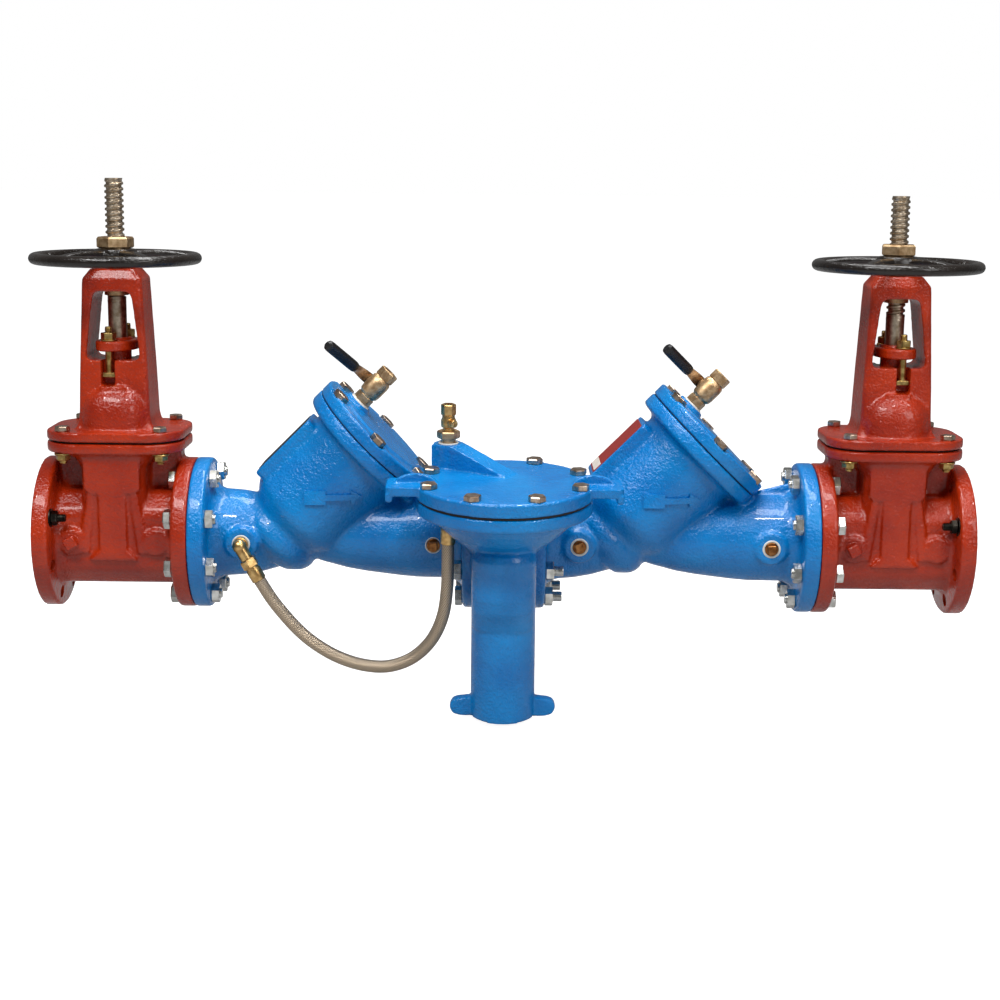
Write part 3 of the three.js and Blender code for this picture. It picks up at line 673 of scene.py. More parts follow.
@dataclass
class GateValve:
    """Outside-screw-and-yoke gate valve at one end of the assembly."""

    prefix: str
    centre_x: float
    free_side: int
    stem_drop: float
    flange_r: float = FLANGE_R
    flange_t: float = 23.9
    half_length: float = 114.15
    bore_r: float = BORE_R
    bonnet_half_x: float = 103.0
    bonnet_half_y: float = 88.0
    split_z: float = 146.6
    wheel_r: float = 127.0
    wheel_z: float = 415.0
    stem_r: float = 14.0
    gland_r: float = 31.0
    gland_turn: float = 15.0

    def at(self, inner: np.ndarray = IDENTITY) -> np.ndarray:
        """A frame of the valve, moved to the valve's place."""
        return shift(self.centre_x) @ inner

    def gland_place(self) -> tuple[float, float]:
        """Where the front gland bolt stands."""
        a = math.radians(self.gland_turn) * self.free_side
        return self.gland_r * math.sin(a), -self.gland_r * math.cos(a)

    def body(self, out: Finisher, looks: Finishes) -> None:
        """Casts the body with its flanges, square belly, wedge chamber and bonnet flange."""
        iron = Surfaces()
        for side in (-1, 1):
            f = self.at(along_x()) @ np.diag((1, side, side, 1.0))
            h, t, r = self.half_length, self.flange_t, self.flange_r
            iron.add(revolve([(78, h - t - 12), (84, h - t - 3), (r - 3, h - t), (r, h - t + 2.5), (r, h)],
                             96), f)
        c = 44
        belly = polygon([(72, -c), (72, c), (c, 72), (-c, 72), (-72, c), (-72, -c), (-c, -72), (c, -72)], 10)
        iron.add(slab(belly, -100, 100), self.at(along_x()))
        chest = ((46, 72, 20), (47, 74, 18), (48, 75, 18), (58, 79, 24), (86, 85, 50))
        iron.add(loft([rounded_rect(*row) for row in chest], (-4, 60, 108, 124, 134)), self.at())
        rim = rounded_rect(self.bonnet_half_x, self.bonnet_half_y, 58, 16)
        iron.add(slab(rim, 131, self.split_z, 1.2), self.at())
        iron.box((-94, 94), (-20, 20), (50, 133), self.at(), 5)
        strip = polygon([(-20, -22), (20, -22), (20, 74), (42, 76), (42, 126), (-42, 126), (-42, 76),
                         (-20, 74)], 3)
        front = self.at(front_face())
        for s in (-1, 1):
            leg = polygon([(s * 26, 72), (s * 37, 76), (s * 52, -20), (s * 37, -20)][::s], 2)
            iron.add(slab(leg, 50, 77.5), front)
        iron.add(slab(strip, 60, 79.5), front)
        iron.add(slab(polygon([(-36, -30), (36, -30), (24, -16), (-24, -16)], 3), 56, 79.8), front)
        for x in (-62, 64):
            iron.add(revolve([(24, 50), (22, 70), (20, 79), (18.5, 80.3)], 40), front @ shift(x, -2))
        cut = Surfaces()
        cut.rod(self.bore_r, -160, 160, self.at(along_x()), 72)
        free_end = self.free_side * self.half_length
        near, far = sorted((free_end, free_end - self.free_side * 34))
        for y, z in ring_places(BOLT_CIRCLE_R, BOLTS_PER_FLANGE, FIRST_BOLT_ANGLE):
            cut.rod(9.5, near, far + 5, self.at(along_x(0, y, z)), 24)
        a = np.linspace(math.pi, 2 * math.pi, 24)
        pocket = np.concatenate((np.stack((59 * np.cos(a), 59 * np.sin(a)), -1), ((59, 170), (-59, 170))))
        chamber = Surfaces().add(slab(pocket, -28, 28), self.at(place((0, 0, 0), (1, 0, 0), (0, 1, 0))))
        obj = cast(f"{self.prefix}_gate_body_shell", iron, 2.3, 3, chamber, cut)
        out.dress(obj, looks.red, Body.VALVE, "red_epoxy", f"{self.prefix}_gate_body")
        plug = Surfaces()
        f = front @ shift(-62, -2)
        plug.rod(12.5, 79.4, 81.5, f, 32, 0.6)
        plug.add(slab(rounded_rect(8.5, 8.5, 1.6), 80, 92, 1.2), f @ spin(0.5))
        out.turned(f"{self.prefix}_square_plug", plug, looks.red, Body.VALVE, "red_epoxy",
                   f"{self.prefix}_body_plug")

    def bonnet(self, out: Finisher, looks: Finishes) -> None:
        """Casts the bonnet flange, dome and yoke, and cuts the yoke window and bolt pockets."""
        base = self.split_z + 2.3
        iron = Surfaces()
        rim = rounded_rect(self.bonnet_half_x, self.bonnet_half_y, 58, 16)
        iron.add(slab(rim, base, base + 14.5, 1.2), self.at())
        unit = ball((1, 1, 1))
        dome = np.sign(unit) * np.abs(unit) ** 0.8 * np.array((57, 70, 60))
        dome[..., 0] = np.clip(dome[..., 0], -50, 50)
        iron.add(dome, self.at(shift(0, 0, 176)))
        heights = (base + 4, base + 14, 172, 182, 250, 315, 386, 401)
        halves = ((64, 56), (60, 50), (55, 46), (53, 45), (50.5, 43), (47.5, 41), (44.5, 38), (33, 31))
        iron.add(loft([rounded_rect(x, y, 7) for x, y in halves], heights), self.at())
        iron.add(slab(polygon([(-19, 228), (19, 228), (14, 214), (-14, 214)], 2), -53, 53), self.at(along_y())
                 @ np.diag((1, -1, 1, 1.0)))
        gx, _ = self.gland_place()
        hollow = Surfaces()
        window = polygon([(-40.5, 266), (40.5, 266), (33, 330), (28, 368), (-28, 368), (-33, 330)], 11)
        hollow.add(slab(window, -90, 90), self.at(along_y()) @ np.diag((1, -1, 1, 1.0)))
        hollow.box((-28, 28), (-59, 59), (140, 176), self.at(), 4)
        hollow.box((-26, 26), (-32, 32), (172, 202), self.at(), 4)
        hollow.box((gx - 10, gx + 10), (-70, -23), (228, 270), self.at(), 2)
        hollow.box((-gx - 10, -gx + 10), (23, 70), (228, 270), self.at(), 2)
        drill = Surfaces()
        drill.rod(self.stem_r + 0.4, 180, 300, self.at(), 40)
        drill.rod(20, 240, 300, self.at(), 40)
        drill.rod(21.4, 355, 410, self.at(), 40)
        obj = cast(f"{self.prefix}_bonnet_yoke", iron, 2.0, 4, hollow, drill, True)
        out.dress(obj, looks.red, Body.VALVE, "red_epoxy", f"{self.prefix}_bonnet")
        seal = Surfaces()
        outer = rounded_rect(self.bonnet_half_x - 7, self.bonnet_half_y - 7, 52, 16)
        inner = rounded_rect(40, 66, 10, 16)
        z0, z1 = self.split_z + 0.3, self.split_z + 2.0
        seal.add(loft([inner, outer, outer, inner], (z0, z0, z1, z1)), self.at(), ring=True)
        out.turned(f"{self.prefix}_bonnet_seal", seal, looks.rubber, Body.VALVE, "gasket",
                   f"{self.prefix}_bonnet_gasket")
        bolts, nuts = Surfaces(), Surfaces()
        for x in (-72, 72):
            for y in (-68, 68):
                Fastener(19, 7.5, 0, 6).put(bolts, self.at(shift(x, y, base + 14.5)), x)
                Fastener(19, 8, 13, 6, 5).put(nuts, self.at(place((x, y, 131), (0, 0, -1))), y)
        out.turned(f"{self.prefix}_bonnet_bolts", bolts, looks.copper, Body.VALVE, "yellow_zinc")
        out.turned(f"{self.prefix}_bonnet_nuts", nuts, looks.yellow, Body.VALVE, "yellow_zinc")

    def gland(self, out: Finisher, looks: Finishes) -> None:
        """Makes the gland follower and its two T-headed bolts."""
        gx, gy = self.gland_place()
        follower = Surfaces()
        turn = spin(math.atan2(-gy, -gx))
        oval = circle(1.0, 64) * np.array((46, 29))
        follower.add(slab(oval, 279, 294, 2), self.at(turn)).rod(19.5, 250, 280, self.at(), 48)
        follower.add(revolve([(22, 290), (22, 296), (20.5, 298)], 48), self.at())
        bore = Surfaces().rod(self.stem_r + 0.4, 240, 310, self.at(), 40)
        obj = cast(f"{self.prefix}_gland", follower, 1.2, 3, None, bore)
        out.dress(obj, looks.red, Body.VALVE, "red_epoxy", f"{self.prefix}_gland_follower")
        for x, y, which in ((gx, gy, "front"), (-gx, -gy, "rear")):
            bolt = Surfaces()
            bolt.add(slab(rounded_rect(9.8, 6.3, 1.5), 240, 247, 1), self.at(shift(x, y)))
            bolt.rod(5.4, 246, 290, self.at(shift(x, y)), 24)
            Fastener(19.5, 10, 11.5, 5.4, 9).put(bolt, self.at(shift(x, y, 294.2)), 0.2)
            out.turned(f"{self.prefix}_gland_stud_{which}", bolt, looks.yellow, Body.VALVE, "yellow_zinc",
                       f"{self.prefix}_gland_bolt_{which}")

    def wheel(self, out: Finisher, looks: Finishes) -> None:
        """Casts the handwheel and turns its yoke nut, lock nut and threaded stem."""
        spun = Body(f"{self.prefix}_wheel")
        rising = Body(f"{self.prefix}_rising")
        z, rim_r = self.wheel_z, 9.2
        iron = Surfaces()
        a = np.linspace(0, 2 * math.pi, 20, endpoint=False)
        section = np.stack((self.wheel_r - rim_r + rim_r * np.cos(a), z + 0.93 * rim_r * np.sin(a)), -1)
        iron.add(revolve(section, 160), self.at(), ring=True)
        iron.add(revolve([(30, 401.6), (32, 404), (32, 420), (30, 427), (29, 429.2)], 48), self.at())
        t = np.linspace(0, 1, 12)[:, None]
        for k in range(5):
            start, end = np.array((24.0, 0, z + 6)), np.array((self.wheel_r - rim_r, 0, z - 1))
            path = start + (end - start) * t + np.array((0, 0, 4.0)) * np.sin(math.pi * t)
            spoke = sweep(path, rounded_rect(8.5, 5, 4, 4))
            iron.add(spoke, self.at(spin((k + 0.25) * 2 * math.pi / 5)))
        bore = Surfaces().rod(21.4, 390, 440, self.at(), 48)
        obj = cast(f"{self.prefix}_handwheel_iron", iron, 1.7, 4, None, bore)
        out.dress(obj, looks.black, spun, "black_enamel", f"{self.prefix}_handwheel")
        nut = Surfaces()
        nut.tube(self.stem_r + 0.4, 21, 371, 446.3, self.at(), 48)
        nut.tube(self.stem_r + 2, 21, 366, 371, self.at(), 48)
        nut.tube(self.stem_r + 0.6, 18, 360.5, 366.5, self.at(), 48)
        out.turned(f"{self.prefix}_yoke_bush", nut, looks.bronze, spun, "bronze", f"{self.prefix}_yoke_nut")
        lock = Surfaces()
        r = 48 / math.sqrt(3)
        rows = [(21.3, 430), (r * 0.9, 430), (r, 432), (r, 444), (r * 0.92, 446.8), (21.3, 446.8)]
        outer = revolve(rows, 6)
        outer = np.repeat(outer, 8, axis=1).reshape(len(rows), 6, 8, 3)
        nxt = np.roll(outer, -1, axis=1)
        mix = (np.arange(8) / 8)[None, None, :, None]
        skin = (outer * (1 - mix) + nxt * mix).reshape(len(rows), 48, 3)
        a = np.arange(48) * 2 * math.pi / 48
        for row in (0, -1):
            skin[row, :, 0], skin[row, :, 1] = 21.3 * np.cos(a), 21.3 * np.sin(a)
        lock.add(skin, self.at(spin(0.35)), ring=True)
        out.turned(f"{self.prefix}_wheel_lock_nut", lock, looks.bronze, spun, "bronze",
                   f"{self.prefix}_wheel_nut")
        stem = Surfaces()
        low = self.at(shift(0, 0, -self.stem_drop))
        stem.rod(self.stem_r - 0.2, 148, 358, low, 40)
        stem.add(thread(self.stem_r, 2.6, 8.467, 350, 533, 40), low)
        out.turned(f"{self.prefix}_screw_stem", stem, looks.stem, rising, "stem_metal", f"{self.prefix}_stem")

    def shipping_bolt(self, out: Finisher, looks: Finishes) -> None:
        """Adds the one black bolt left in a hole of the free flange."""
        bolt = Surfaces()
        face = self.free_side * (self.half_length - self.flange_t)
        f = self.at(place((face, -88, 36.4), (-self.free_side, 0, 0), (0, 1, 0)))
        Fastener(19, 9, 14, 6, 12).put(bolt, f)
        bolt.rod(6, -23, 2, f, 24)
        out.turned(f"{self.prefix}_loose_bolt", bolt, looks.black_bolt, Body.VALVE, "black_enamel")

    def build(self, out: Finisher, looks: Finishes) -> None:
        """Builds the whole valve."""
        self.body(out, looks)
        self.bonnet(out, looks)
        self.gland(out, looks)
        self.wheel(out, looks)
        self.shipping_bolt(out, looks)


# ---------------------------------------------------------------- check valve


@dataclass
class CheckValve:
    """Y-pattern check valve: a barrel at 45 degrees on a straight pipe, with a bolted cover."""

    prefix: str
    axis_x: float
    inlet: float
    outlet: float
    inlet_flange: tuple[float, float]
    outlet_flange: tuple[float, float]
    ports: tuple[tuple[float, bool, str], ...]
    label: str
    rib: bool
    barrel_r: float = 83.0
    cover_r: float = 108.3
    seam: float = 202.5
    face: float = 223.0
    bolt_r: float = 95.0
    cock_v: float = 55.0
    port_z: float = -4.0

    def at(self, inner: np.ndarray = IDENTITY) -> np.ndarray:
        """A frame of the valve, moved to the valve's place."""
        return shift(self.axis_x) @ inner

    def barrel(self, inner: np.ndarray = IDENTITY) -> np.ndarray:
        """A frame on the barrel's axis: +Z along it, +X down and downstream."""
        return self.at(place((0, 0, 0), (1, 0, 1), (1, 0, -1))) @ inner

    def body(self, out: Finisher, looks: Finishes) -> None:
        """Casts the body and bores the water way from both ends."""
        iron = Surfaces()
        ax = self.at(along_x())
        (ri, ti), (ro, to) = self.inlet_flange, self.outlet_flange
        i, o = self.inlet, self.outlet
        iron.add(revolve([(ri, i), (ri, i + ti - 2.5), (ri - 3, i + ti), (78, i + ti + 1.5), (72, i + ti + 8),
                          (67, i + ti + 18), (66.5, -72), (65, -52), (60, -24), (52, 4), (46, 20)], 96), ax)
        iron.add(revolve([(36, 50), (43, 66), (48, 86), (53, 105), (58, 135), (61.5, 164), (64.5, 190),
                          (66.5, 215), (67, o - to - 18), (72, o - to - 8), (78, o - to - 1.5),
                          (ro - 3, o - to), (ro, o - to + 2.5), (ro, o)], 96), ax)
        iron.add(revolve([(50, -30), (60, -20), (66, -13), (69, -5), (69.5, 3), (67.5, 10), (64, 15),
                          (63.5, 20), (67, 25), (74, 33), (80, 41), (83, 50), (83, 173), (86, 177.5),
                          (92, 180), (105.5, 181.5), (108.3, 184), (108.3, self.seam)], 112), self.barrel())
        pad = polygon([(48, -44), (163, -44), (163, 44), (48, 44)], 8)
        iron.add(slab(pad, 60, 91.5), self.barrel(place((0, 0, 0), (-1, 0, 0), (0, 0, 1))))
        front = self.at(front_face())
        for x, boss, _ in self.ports:
            if boss:
                iron.add(revolve([(27, 40), (26, 62), (24.3, 69.5), (22.5, 71)], 48),
                         front @ shift(x, self.port_z))
        iron.add(slab(polygon([(66, 135), (14, 84), (30, 70), (103, 110)], 6), 30, 66), front)
        if self.rib:
            rib = polygon([(o - to + 4, 40), (o - to + 4, 88), (205, 66), (205, 40)], 2)
            iron.add(slab(rib, -5, 5), front)
        cut = Surfaces()
        cut.rod(BORE_R, i - 10, -40, ax, 72)
        cut.add(revolve([(BORE_R, 150), (BORE_R, o + 10)], 72), ax)
        room = self.room()
        obj = cast(f"{self.prefix}_check_casting", iron, 2.7, 3, room, cut)
        out.dress(obj, looks.blue, Body.VALVE, "blue_epoxy", f"{self.prefix}_check_body")
        self.arrow(out, looks)

    def room(self) -> Surfaces:
        """The room that the middle flanges leave for the relief valve."""
        room = Surfaces()
        relief = tilt_x(ReliefValve.lean) @ shift(0, ReliefValve.axis_y)
        room.add(revolve([(49.5, -260), (49.5, 19), (68, 58), (68, 68), (132, 73), (132, 135)], 64), relief)
        return room

    def arrow(self, out: Finisher, looks: Finishes) -> None:
        """Raises the flow arrow on the front of the barrel.

        At each step along the arrow its section is a strip that follows the barrel: the surface stands
        sqrt(R^2 - v^2) in front of the axis, where v is the distance from the axis across the barrel.
        """
        mark = Surfaces()
        for x0, x1, w0, w1 in ((48, 80, 10.5, 10.5), (79, 118, 4.5, 4.5), (117, 133, 11, 0.6)):
            x = np.linspace(x0, x1, 10)[:, None]
            half = np.linspace(w0, w1, 10)[:, None]
            t = np.concatenate((np.linspace(-1, 1, 7), np.linspace(1, -1, 7)))[None]
            z = 70 + half * t
            v = (z - x) / math.sqrt(2)
            rise = np.where(np.arange(14) < 7, 3.8, -2.0)[None]
            y = -(np.sqrt(self.barrel_r**2 - v**2) + rise)
            mark.add(np.stack((np.broadcast_to(x, y.shape), y, z), -1), self.at())
        out.turned(f"{self.prefix}_flow_arrow", mark, looks.blue, Body.VALVE, "blue_epoxy")

    def cover(self, out: Finisher, looks: Finishes) -> None:
        """Casts the cover, with a pocket in its rim for each bolt, and sets its seal and bolts."""
        iron = Surfaces()
        z0, z1, r = self.seam + 2.7, self.face, self.cover_r
        iron.add(revolve([(r - 0.6, z0 - 1.6), (r, z0), (r, z1 - 2), (r - 2, z1)], 128), self.barrel())
        iron.add(revolve([(82, z1 - 3), (80, z1 + 2.2), (76, z1 + 2.6)], 96), self.barrel())
        iron.add(revolve([(24, z1 - 2), (22, z1 + 4), (21, 231.8)], 48), self.barrel(shift(-self.cock_v)))
        pockets = Surfaces()
        for k in range(6):
            turn = self.barrel(spin(math.radians(30 + 60 * k)))
            pockets.box((83, 125), (-16, 16), (z1 - 3.5, z1 + 12), turn, 4)
        obj = cast(f"{self.prefix}_cover_casting", iron, 1.6, 2, pockets)
        out.dress(obj, looks.blue, Body.VALVE, "blue_epoxy", f"{self.prefix}_check_cover")
        seal = Surfaces().tube(73, r - 2.5, self.seam + 0.1, self.seam + 1.0, self.barrel(), 96, 0.2)
        out.turned(f"{self.prefix}_cover_seal", seal, looks.rubber, Body.VALVE, "gasket",
                   f"{self.prefix}_cover_gasket")
        bolts = Surfaces()
        for x, y in ring_places(self.bolt_r, 6, 30):
            Fastener(22, 9.5, 0).put(bolts, self.barrel(shift(x, y, z1 - 3.8)), x * y)
        out.turned(f"{self.prefix}_cover_bolts", bolts, looks.copper, Body.VALVE, "copper_plate")

    def test_cock(self, out: Finisher, looks: Finishes) -> None:
        """Makes the test cock: threaded body, ball stem, lever plate and dipped grip."""
        at = self.barrel(shift(-self.cock_v))
        stem_way, lever_way = np.array((-0.57, 0.8216, 0)), np.array((-0.8216, -0.57, 0))
        side = self.barrel(place((-self.cock_v, 0, 264), stem_way, lever_way))
        body = Surfaces()
        body.add(revolve([(10, 230), (10, 235)], 32), at).hexagon(25, 232.4, 246, at)
        body.add(revolve([(12, 245), (13, 247), (15.6, 250), (16.4, 256), (16.4, 272), (15.6, 278),
                          (13, 281.5)], 48), at)
        body.hexagon(26, 281, 296.5, at)
        body.add(revolve([(9, 0), (9, 17.5), (8, 18.6)], 32), side)
        bore = Surfaces().rod(7.6, 283, 300, at, 32)
        obj = body.mesh(f"{self.prefix}_cock_body")
        carve(obj, bore, True)
        shade(obj)
        out.dress(obj, looks.bronze, Body.VALVE, "bronze", f"{self.prefix}_test_cock_body")
        ring = Surfaces().add(revolve([(17, 231.6), (16.5, 233.2), (14, 234)], 32), at)
        out.turned(f"{self.prefix}_cock_sealant", ring, looks.sealant, Body.VALVE, "gasket")
        moving = Body(f"{self.prefix}_lever")
        lever = Surfaces()
        lever.rod(4, 10.6, 25.5, side, 24).hexagon(12, 22.2, 26.8, side)
        outline = polygon([(-9, -9), (12, -9), (40, -6.2), (97, -5), (97, 5), (40, 6.2), (12, 9), (-9, 9)], 5)
        lever.add(slab(outline, 19.4, 22, 0.3), side)
        out.turned(f"{self.prefix}_lever_plate", lever, looks.copper, moving, "copper_plate",
                   f"{self.prefix}_test_cock_lever")
        x = np.linspace(0, 1, 22)[:, None]
        path = np.concatenate((34 + 70 * x, 0 * x, 20.7 + 0 * x), 1)
        swell = np.sqrt(1 - np.clip(np.abs(2 * x - 1) - 0.02, 0, 0.985) ** 14)[..., None]
        section = rounded_rect(8.6, 6.4, 5.4, 5)[None] * swell
        grip = Surfaces().add(sweep(path, section), side)
        out.turned(f"{self.prefix}_lever_sleeve", grip, looks.vinyl, moving, "black_vinyl",
                   f"{self.prefix}_test_cock_grip")

    def fittings(self, out: Finisher, looks: Finishes) -> None:
        """Puts the square plugs in their ports, with squeezed-out sealant, and the label on its pad."""
        front = self.at(front_face())
        paste = Surfaces()
        for x, boss, node in self.ports:
            depth = 71.0 if boss else 66.0
            at = front @ shift(x, self.port_z)
            paste.tube(10.4, 13.6 if boss else 12.4, depth - 1.5, depth + 1.1, at, 48, 0.9)
            if node:
                plug = Surfaces().rod(10.2, depth - 8, depth + 1.6, at, 40, 0.8)
                plug.add(slab(rounded_rect(6.3, 6.3, 1.2), depth, 79, 0.9), at @ spin(0.75 + 0.01 * x))
                out.turned(f"{node}_square", plug, looks.plug, Body.VALVE, "brass", node)
        out.turned(f"{self.prefix}_port_sealant", paste, looks.sealant, Body.VALVE, "gasket")
        pad = self.barrel(place((0, 0, 0), (-1, 0, 0), (0, 0, 1)))
        sheet = polygon([(56, -38), (157, -38), (157, 38), (56, 38)], 4)
        plate = Surfaces().add(slab(sheet, 89, 92.3, 0.4), pad)
        look = looks.label if self.label == "red" else looks.rubber
        out.turned(f"{self.prefix}_blank_label", plate, look, Body.VALVE, "gasket")
        if self.label == "red":
            patch = Surfaces().add(slab(rounded_rect(7, 34, 2, 3, (66, 0)), 91, 92.7, 0.2), pad)
            out.turned(f"{self.prefix}_label_patch", patch, looks.patch, Body.VALVE, "gasket")

    def build(self, out: Finisher, looks: Finishes) -> None:
        """Builds the whole valve."""
        self.body(out, looks)
        self.cover(out, looks)
        self.test_cock(out, looks)
        self.fittings(out, looks)


# ---------------------------------------------------------------- relief valve


@dataclass
class ReliefValve:
    """Relief valve that hangs from the middle spool and leans a little forward."""

    lean = math.radians(4.6)
    axis_y = -132.0
    disc_r: float = 130.0
    column_r: float = 47.5
    column_end: float = -240.0
    spool_half: float = 39.85

    def at(self, inner: np.ndarray = IDENTITY) -> np.ndarray:
        """A frame on the leaning column's axis."""
        return tilt_x(self.lean) @ shift(0, self.axis_y) @ inner

    def body(self, out: Finisher, looks: Finishes) -> None:
        """Casts the spool, column, cone, diaphragm flange and lugs.

        The column swells forward: bow lists, for each height, half its depth and where its middle lies
        in Y.
        """
        iron = Surfaces()
        iron.rod(80, -self.spool_half, self.spool_half, along_x(), 72)
        iron.box((-36, 36), (20, 90), (-45, 60), self.at(), 10)
        r, c = self.disc_r - 1.5, self.column_r
        iron.add(revolve([(c, self.column_end), (c, 12)], 112), self.at())
        iron.add(revolve([(40, 0), (44, 12), (82, 43), (101, 62), (108, 72), (r - 3, 75), (r, 78),
                          (r, 95)], 112), self.at())
        bow = ((-98, 47, 0), (-84, 49.5, -3), (-66, 54, -8), (-44, 57, -11.5), (-26, 57.5, -12),
               (-12, 58, -13), (2, 61, -15.5), (16, 62, -16), (26, 60, -14.5), (31, 55, -10))
        sections = [rounded_rect(c - 0.4 if z < 20 else c - 4, half, 40, 12, (0, centre))
                    for z, half, centre in bow]
        iron.add(loft(sections, [row[0] for row in bow]), self.at())
        for s in (-1, 1):
            lug = polygon([(s * 40, -212), (s * 60, -213), (s * 74, -216), (s * 80, -227), (s * 74, -239),
                           (s * 60, -242), (s * 40, -242)], 5)
            front = self.at(front_face())
            iron.add(slab(lug if s > 0 else lug[::-1], -9, 9, 1), front)
        iron.rod(15, 60, 80, self.at(shift(-82)), 40)
        cut = Surfaces().rod(BORE_R, -60, 60, along_x(), 72)
        cut.rod(38, self.column_end - 10, -22, self.at(), 72)
        obj = cast("relief_casting", iron, 2.2, 4, None, cut)
        out.dress(obj, looks.blue, Body.VALVE, "blue_epoxy", "relief_body")

    def cover(self, out: Finisher, looks: Finishes) -> None:
        """Casts the cover with its ears, half-moon ribs, sloping ridge and boss."""
        iron = Surfaces()
        z0, z1, r = 98.8, 119.0, self.disc_r
        iron.add(revolve([(r - 1, z0), (r, z0 + 1), (r, z1 - 3), (r - 2.5, z1)], 144), self.at())
        for s in (-1, 1):
            ear = polygon([(s * 100, 16), (s * 164, 16), (s * 171, 9), (s * 171, -38), (s * 164, -45),
                           (s * 100, -45)], 6)
            iron.add(slab(ear if s > 0 else ear[::-1], 106, z1), self.at())
            iron.box((min(s * 171, s * 160), max(s * 171, s * 160)), (-44, 14), (96, 112), self.at(), 3)
            t = np.linspace(0, math.pi, 24)
            moon = np.stack((s * 128 + 32 * np.cos(t), z1 - 4 + 17.5 * np.sin(t)), -1)
            iron.add(slab(moon, 7.5, 16.5), self.at(front_face()))
        ridge = polygon([(-110, z1 - 6), (19, z1 - 6), (19, 154), (-17, 154), (-110, z1 + 1)], 3)
        iron.add(slab(ridge, -18, 18), self.at(place((-84, 84, 0), (0.51, 0.86, 0), (-0.86, 0.51, 0))))
        iron.rod(22, z1 - 4, 155, self.at(shift(-84, 84)), 48)
        obj = cast("relief_cover_casting", iron, 1.6, 2)
        out.dress(obj, looks.blue, Body.VALVE, "blue_epoxy", "relief_cover")
        seal = Surfaces().rod(r - 3.5, 95.4, 98.4, self.at(), 128)
        out.turned("relief_diaphragm_edge", seal, looks.rubber, Body.VALVE, "gasket", "relief_diaphragm")
        bolts = Surfaces()
        for x, y in ring_places(117, 8, 22.5):
            Fastener(22, 8.5, 0).put(bolts, self.at(shift(x, y, z1 - 0.5)), x)
        out.turned("relief_cover_bolts", bolts, looks.copper, Body.VALVE, "copper_plate")

    def bleed(self, out: Finisher, looks: Finishes) -> None:
        """Turns the bushing and the small bleed cock on the boss."""
        at = self.at(shift(-84, 84))
        bush = Surfaces().rod(11, 152, 163, at, 32).hexagon(30, 162.5, 174, at)
        out.turned("bleed_bushing_hex", bush, looks.bronze, Body.VALVE, "bronze", "bleed_bushing")
        paste = Surfaces().tube(11.2, 15, 154, 156.5, at, 32, 0.8)
        out.turned("bleed_sealant", paste, looks.sealant, Body.VALVE, "gasket")
        side = self.at(place((-84, 84, 187), (0.5, -0.866, 0), (0, 0, 1)))
        cock = Surfaces()
        cock.add(revolve([(8, 173.8), (8, 178), (10.8, 180), (11.2, 184), (11.2, 190), (9.6, 193), (9.2, 197),
                          (10.5, 198)], 40), at)
        cock.hexagon(19.5, 197.5, 214, at).rod(7, 0, 14, side, 32)
        obj = cock.mesh("bleed_cock_turned")
        carve(obj, Surfaces().rod(5.5, 205, 220, at, 24), True)
        shade(obj)
        out.dress(obj, looks.brass, Body.VALVE, "brass", "bleed_cock_body")
        screw = Surfaces().rod(5.5, 14.3, 19, side, 32, 0.5)
        obj = screw.mesh("bleed_screw_slotted")
        carve(obj, Surfaces().box((-8, 8), (-0.8, 0.8), (17, 22), side, 0.1))
        shade(obj)
        out.dress(obj, looks.brass, Body.BLEED, "brass", "bleed_cock_stem")

    def build(self, out: Finisher, looks: Finishes) -> None:
        """Builds the whole valve."""
        self.body(out, looks)
        self.cover(out, looks)
        self.bleed(out, looks)


# ---------------------------------------------------------------- sensing hose


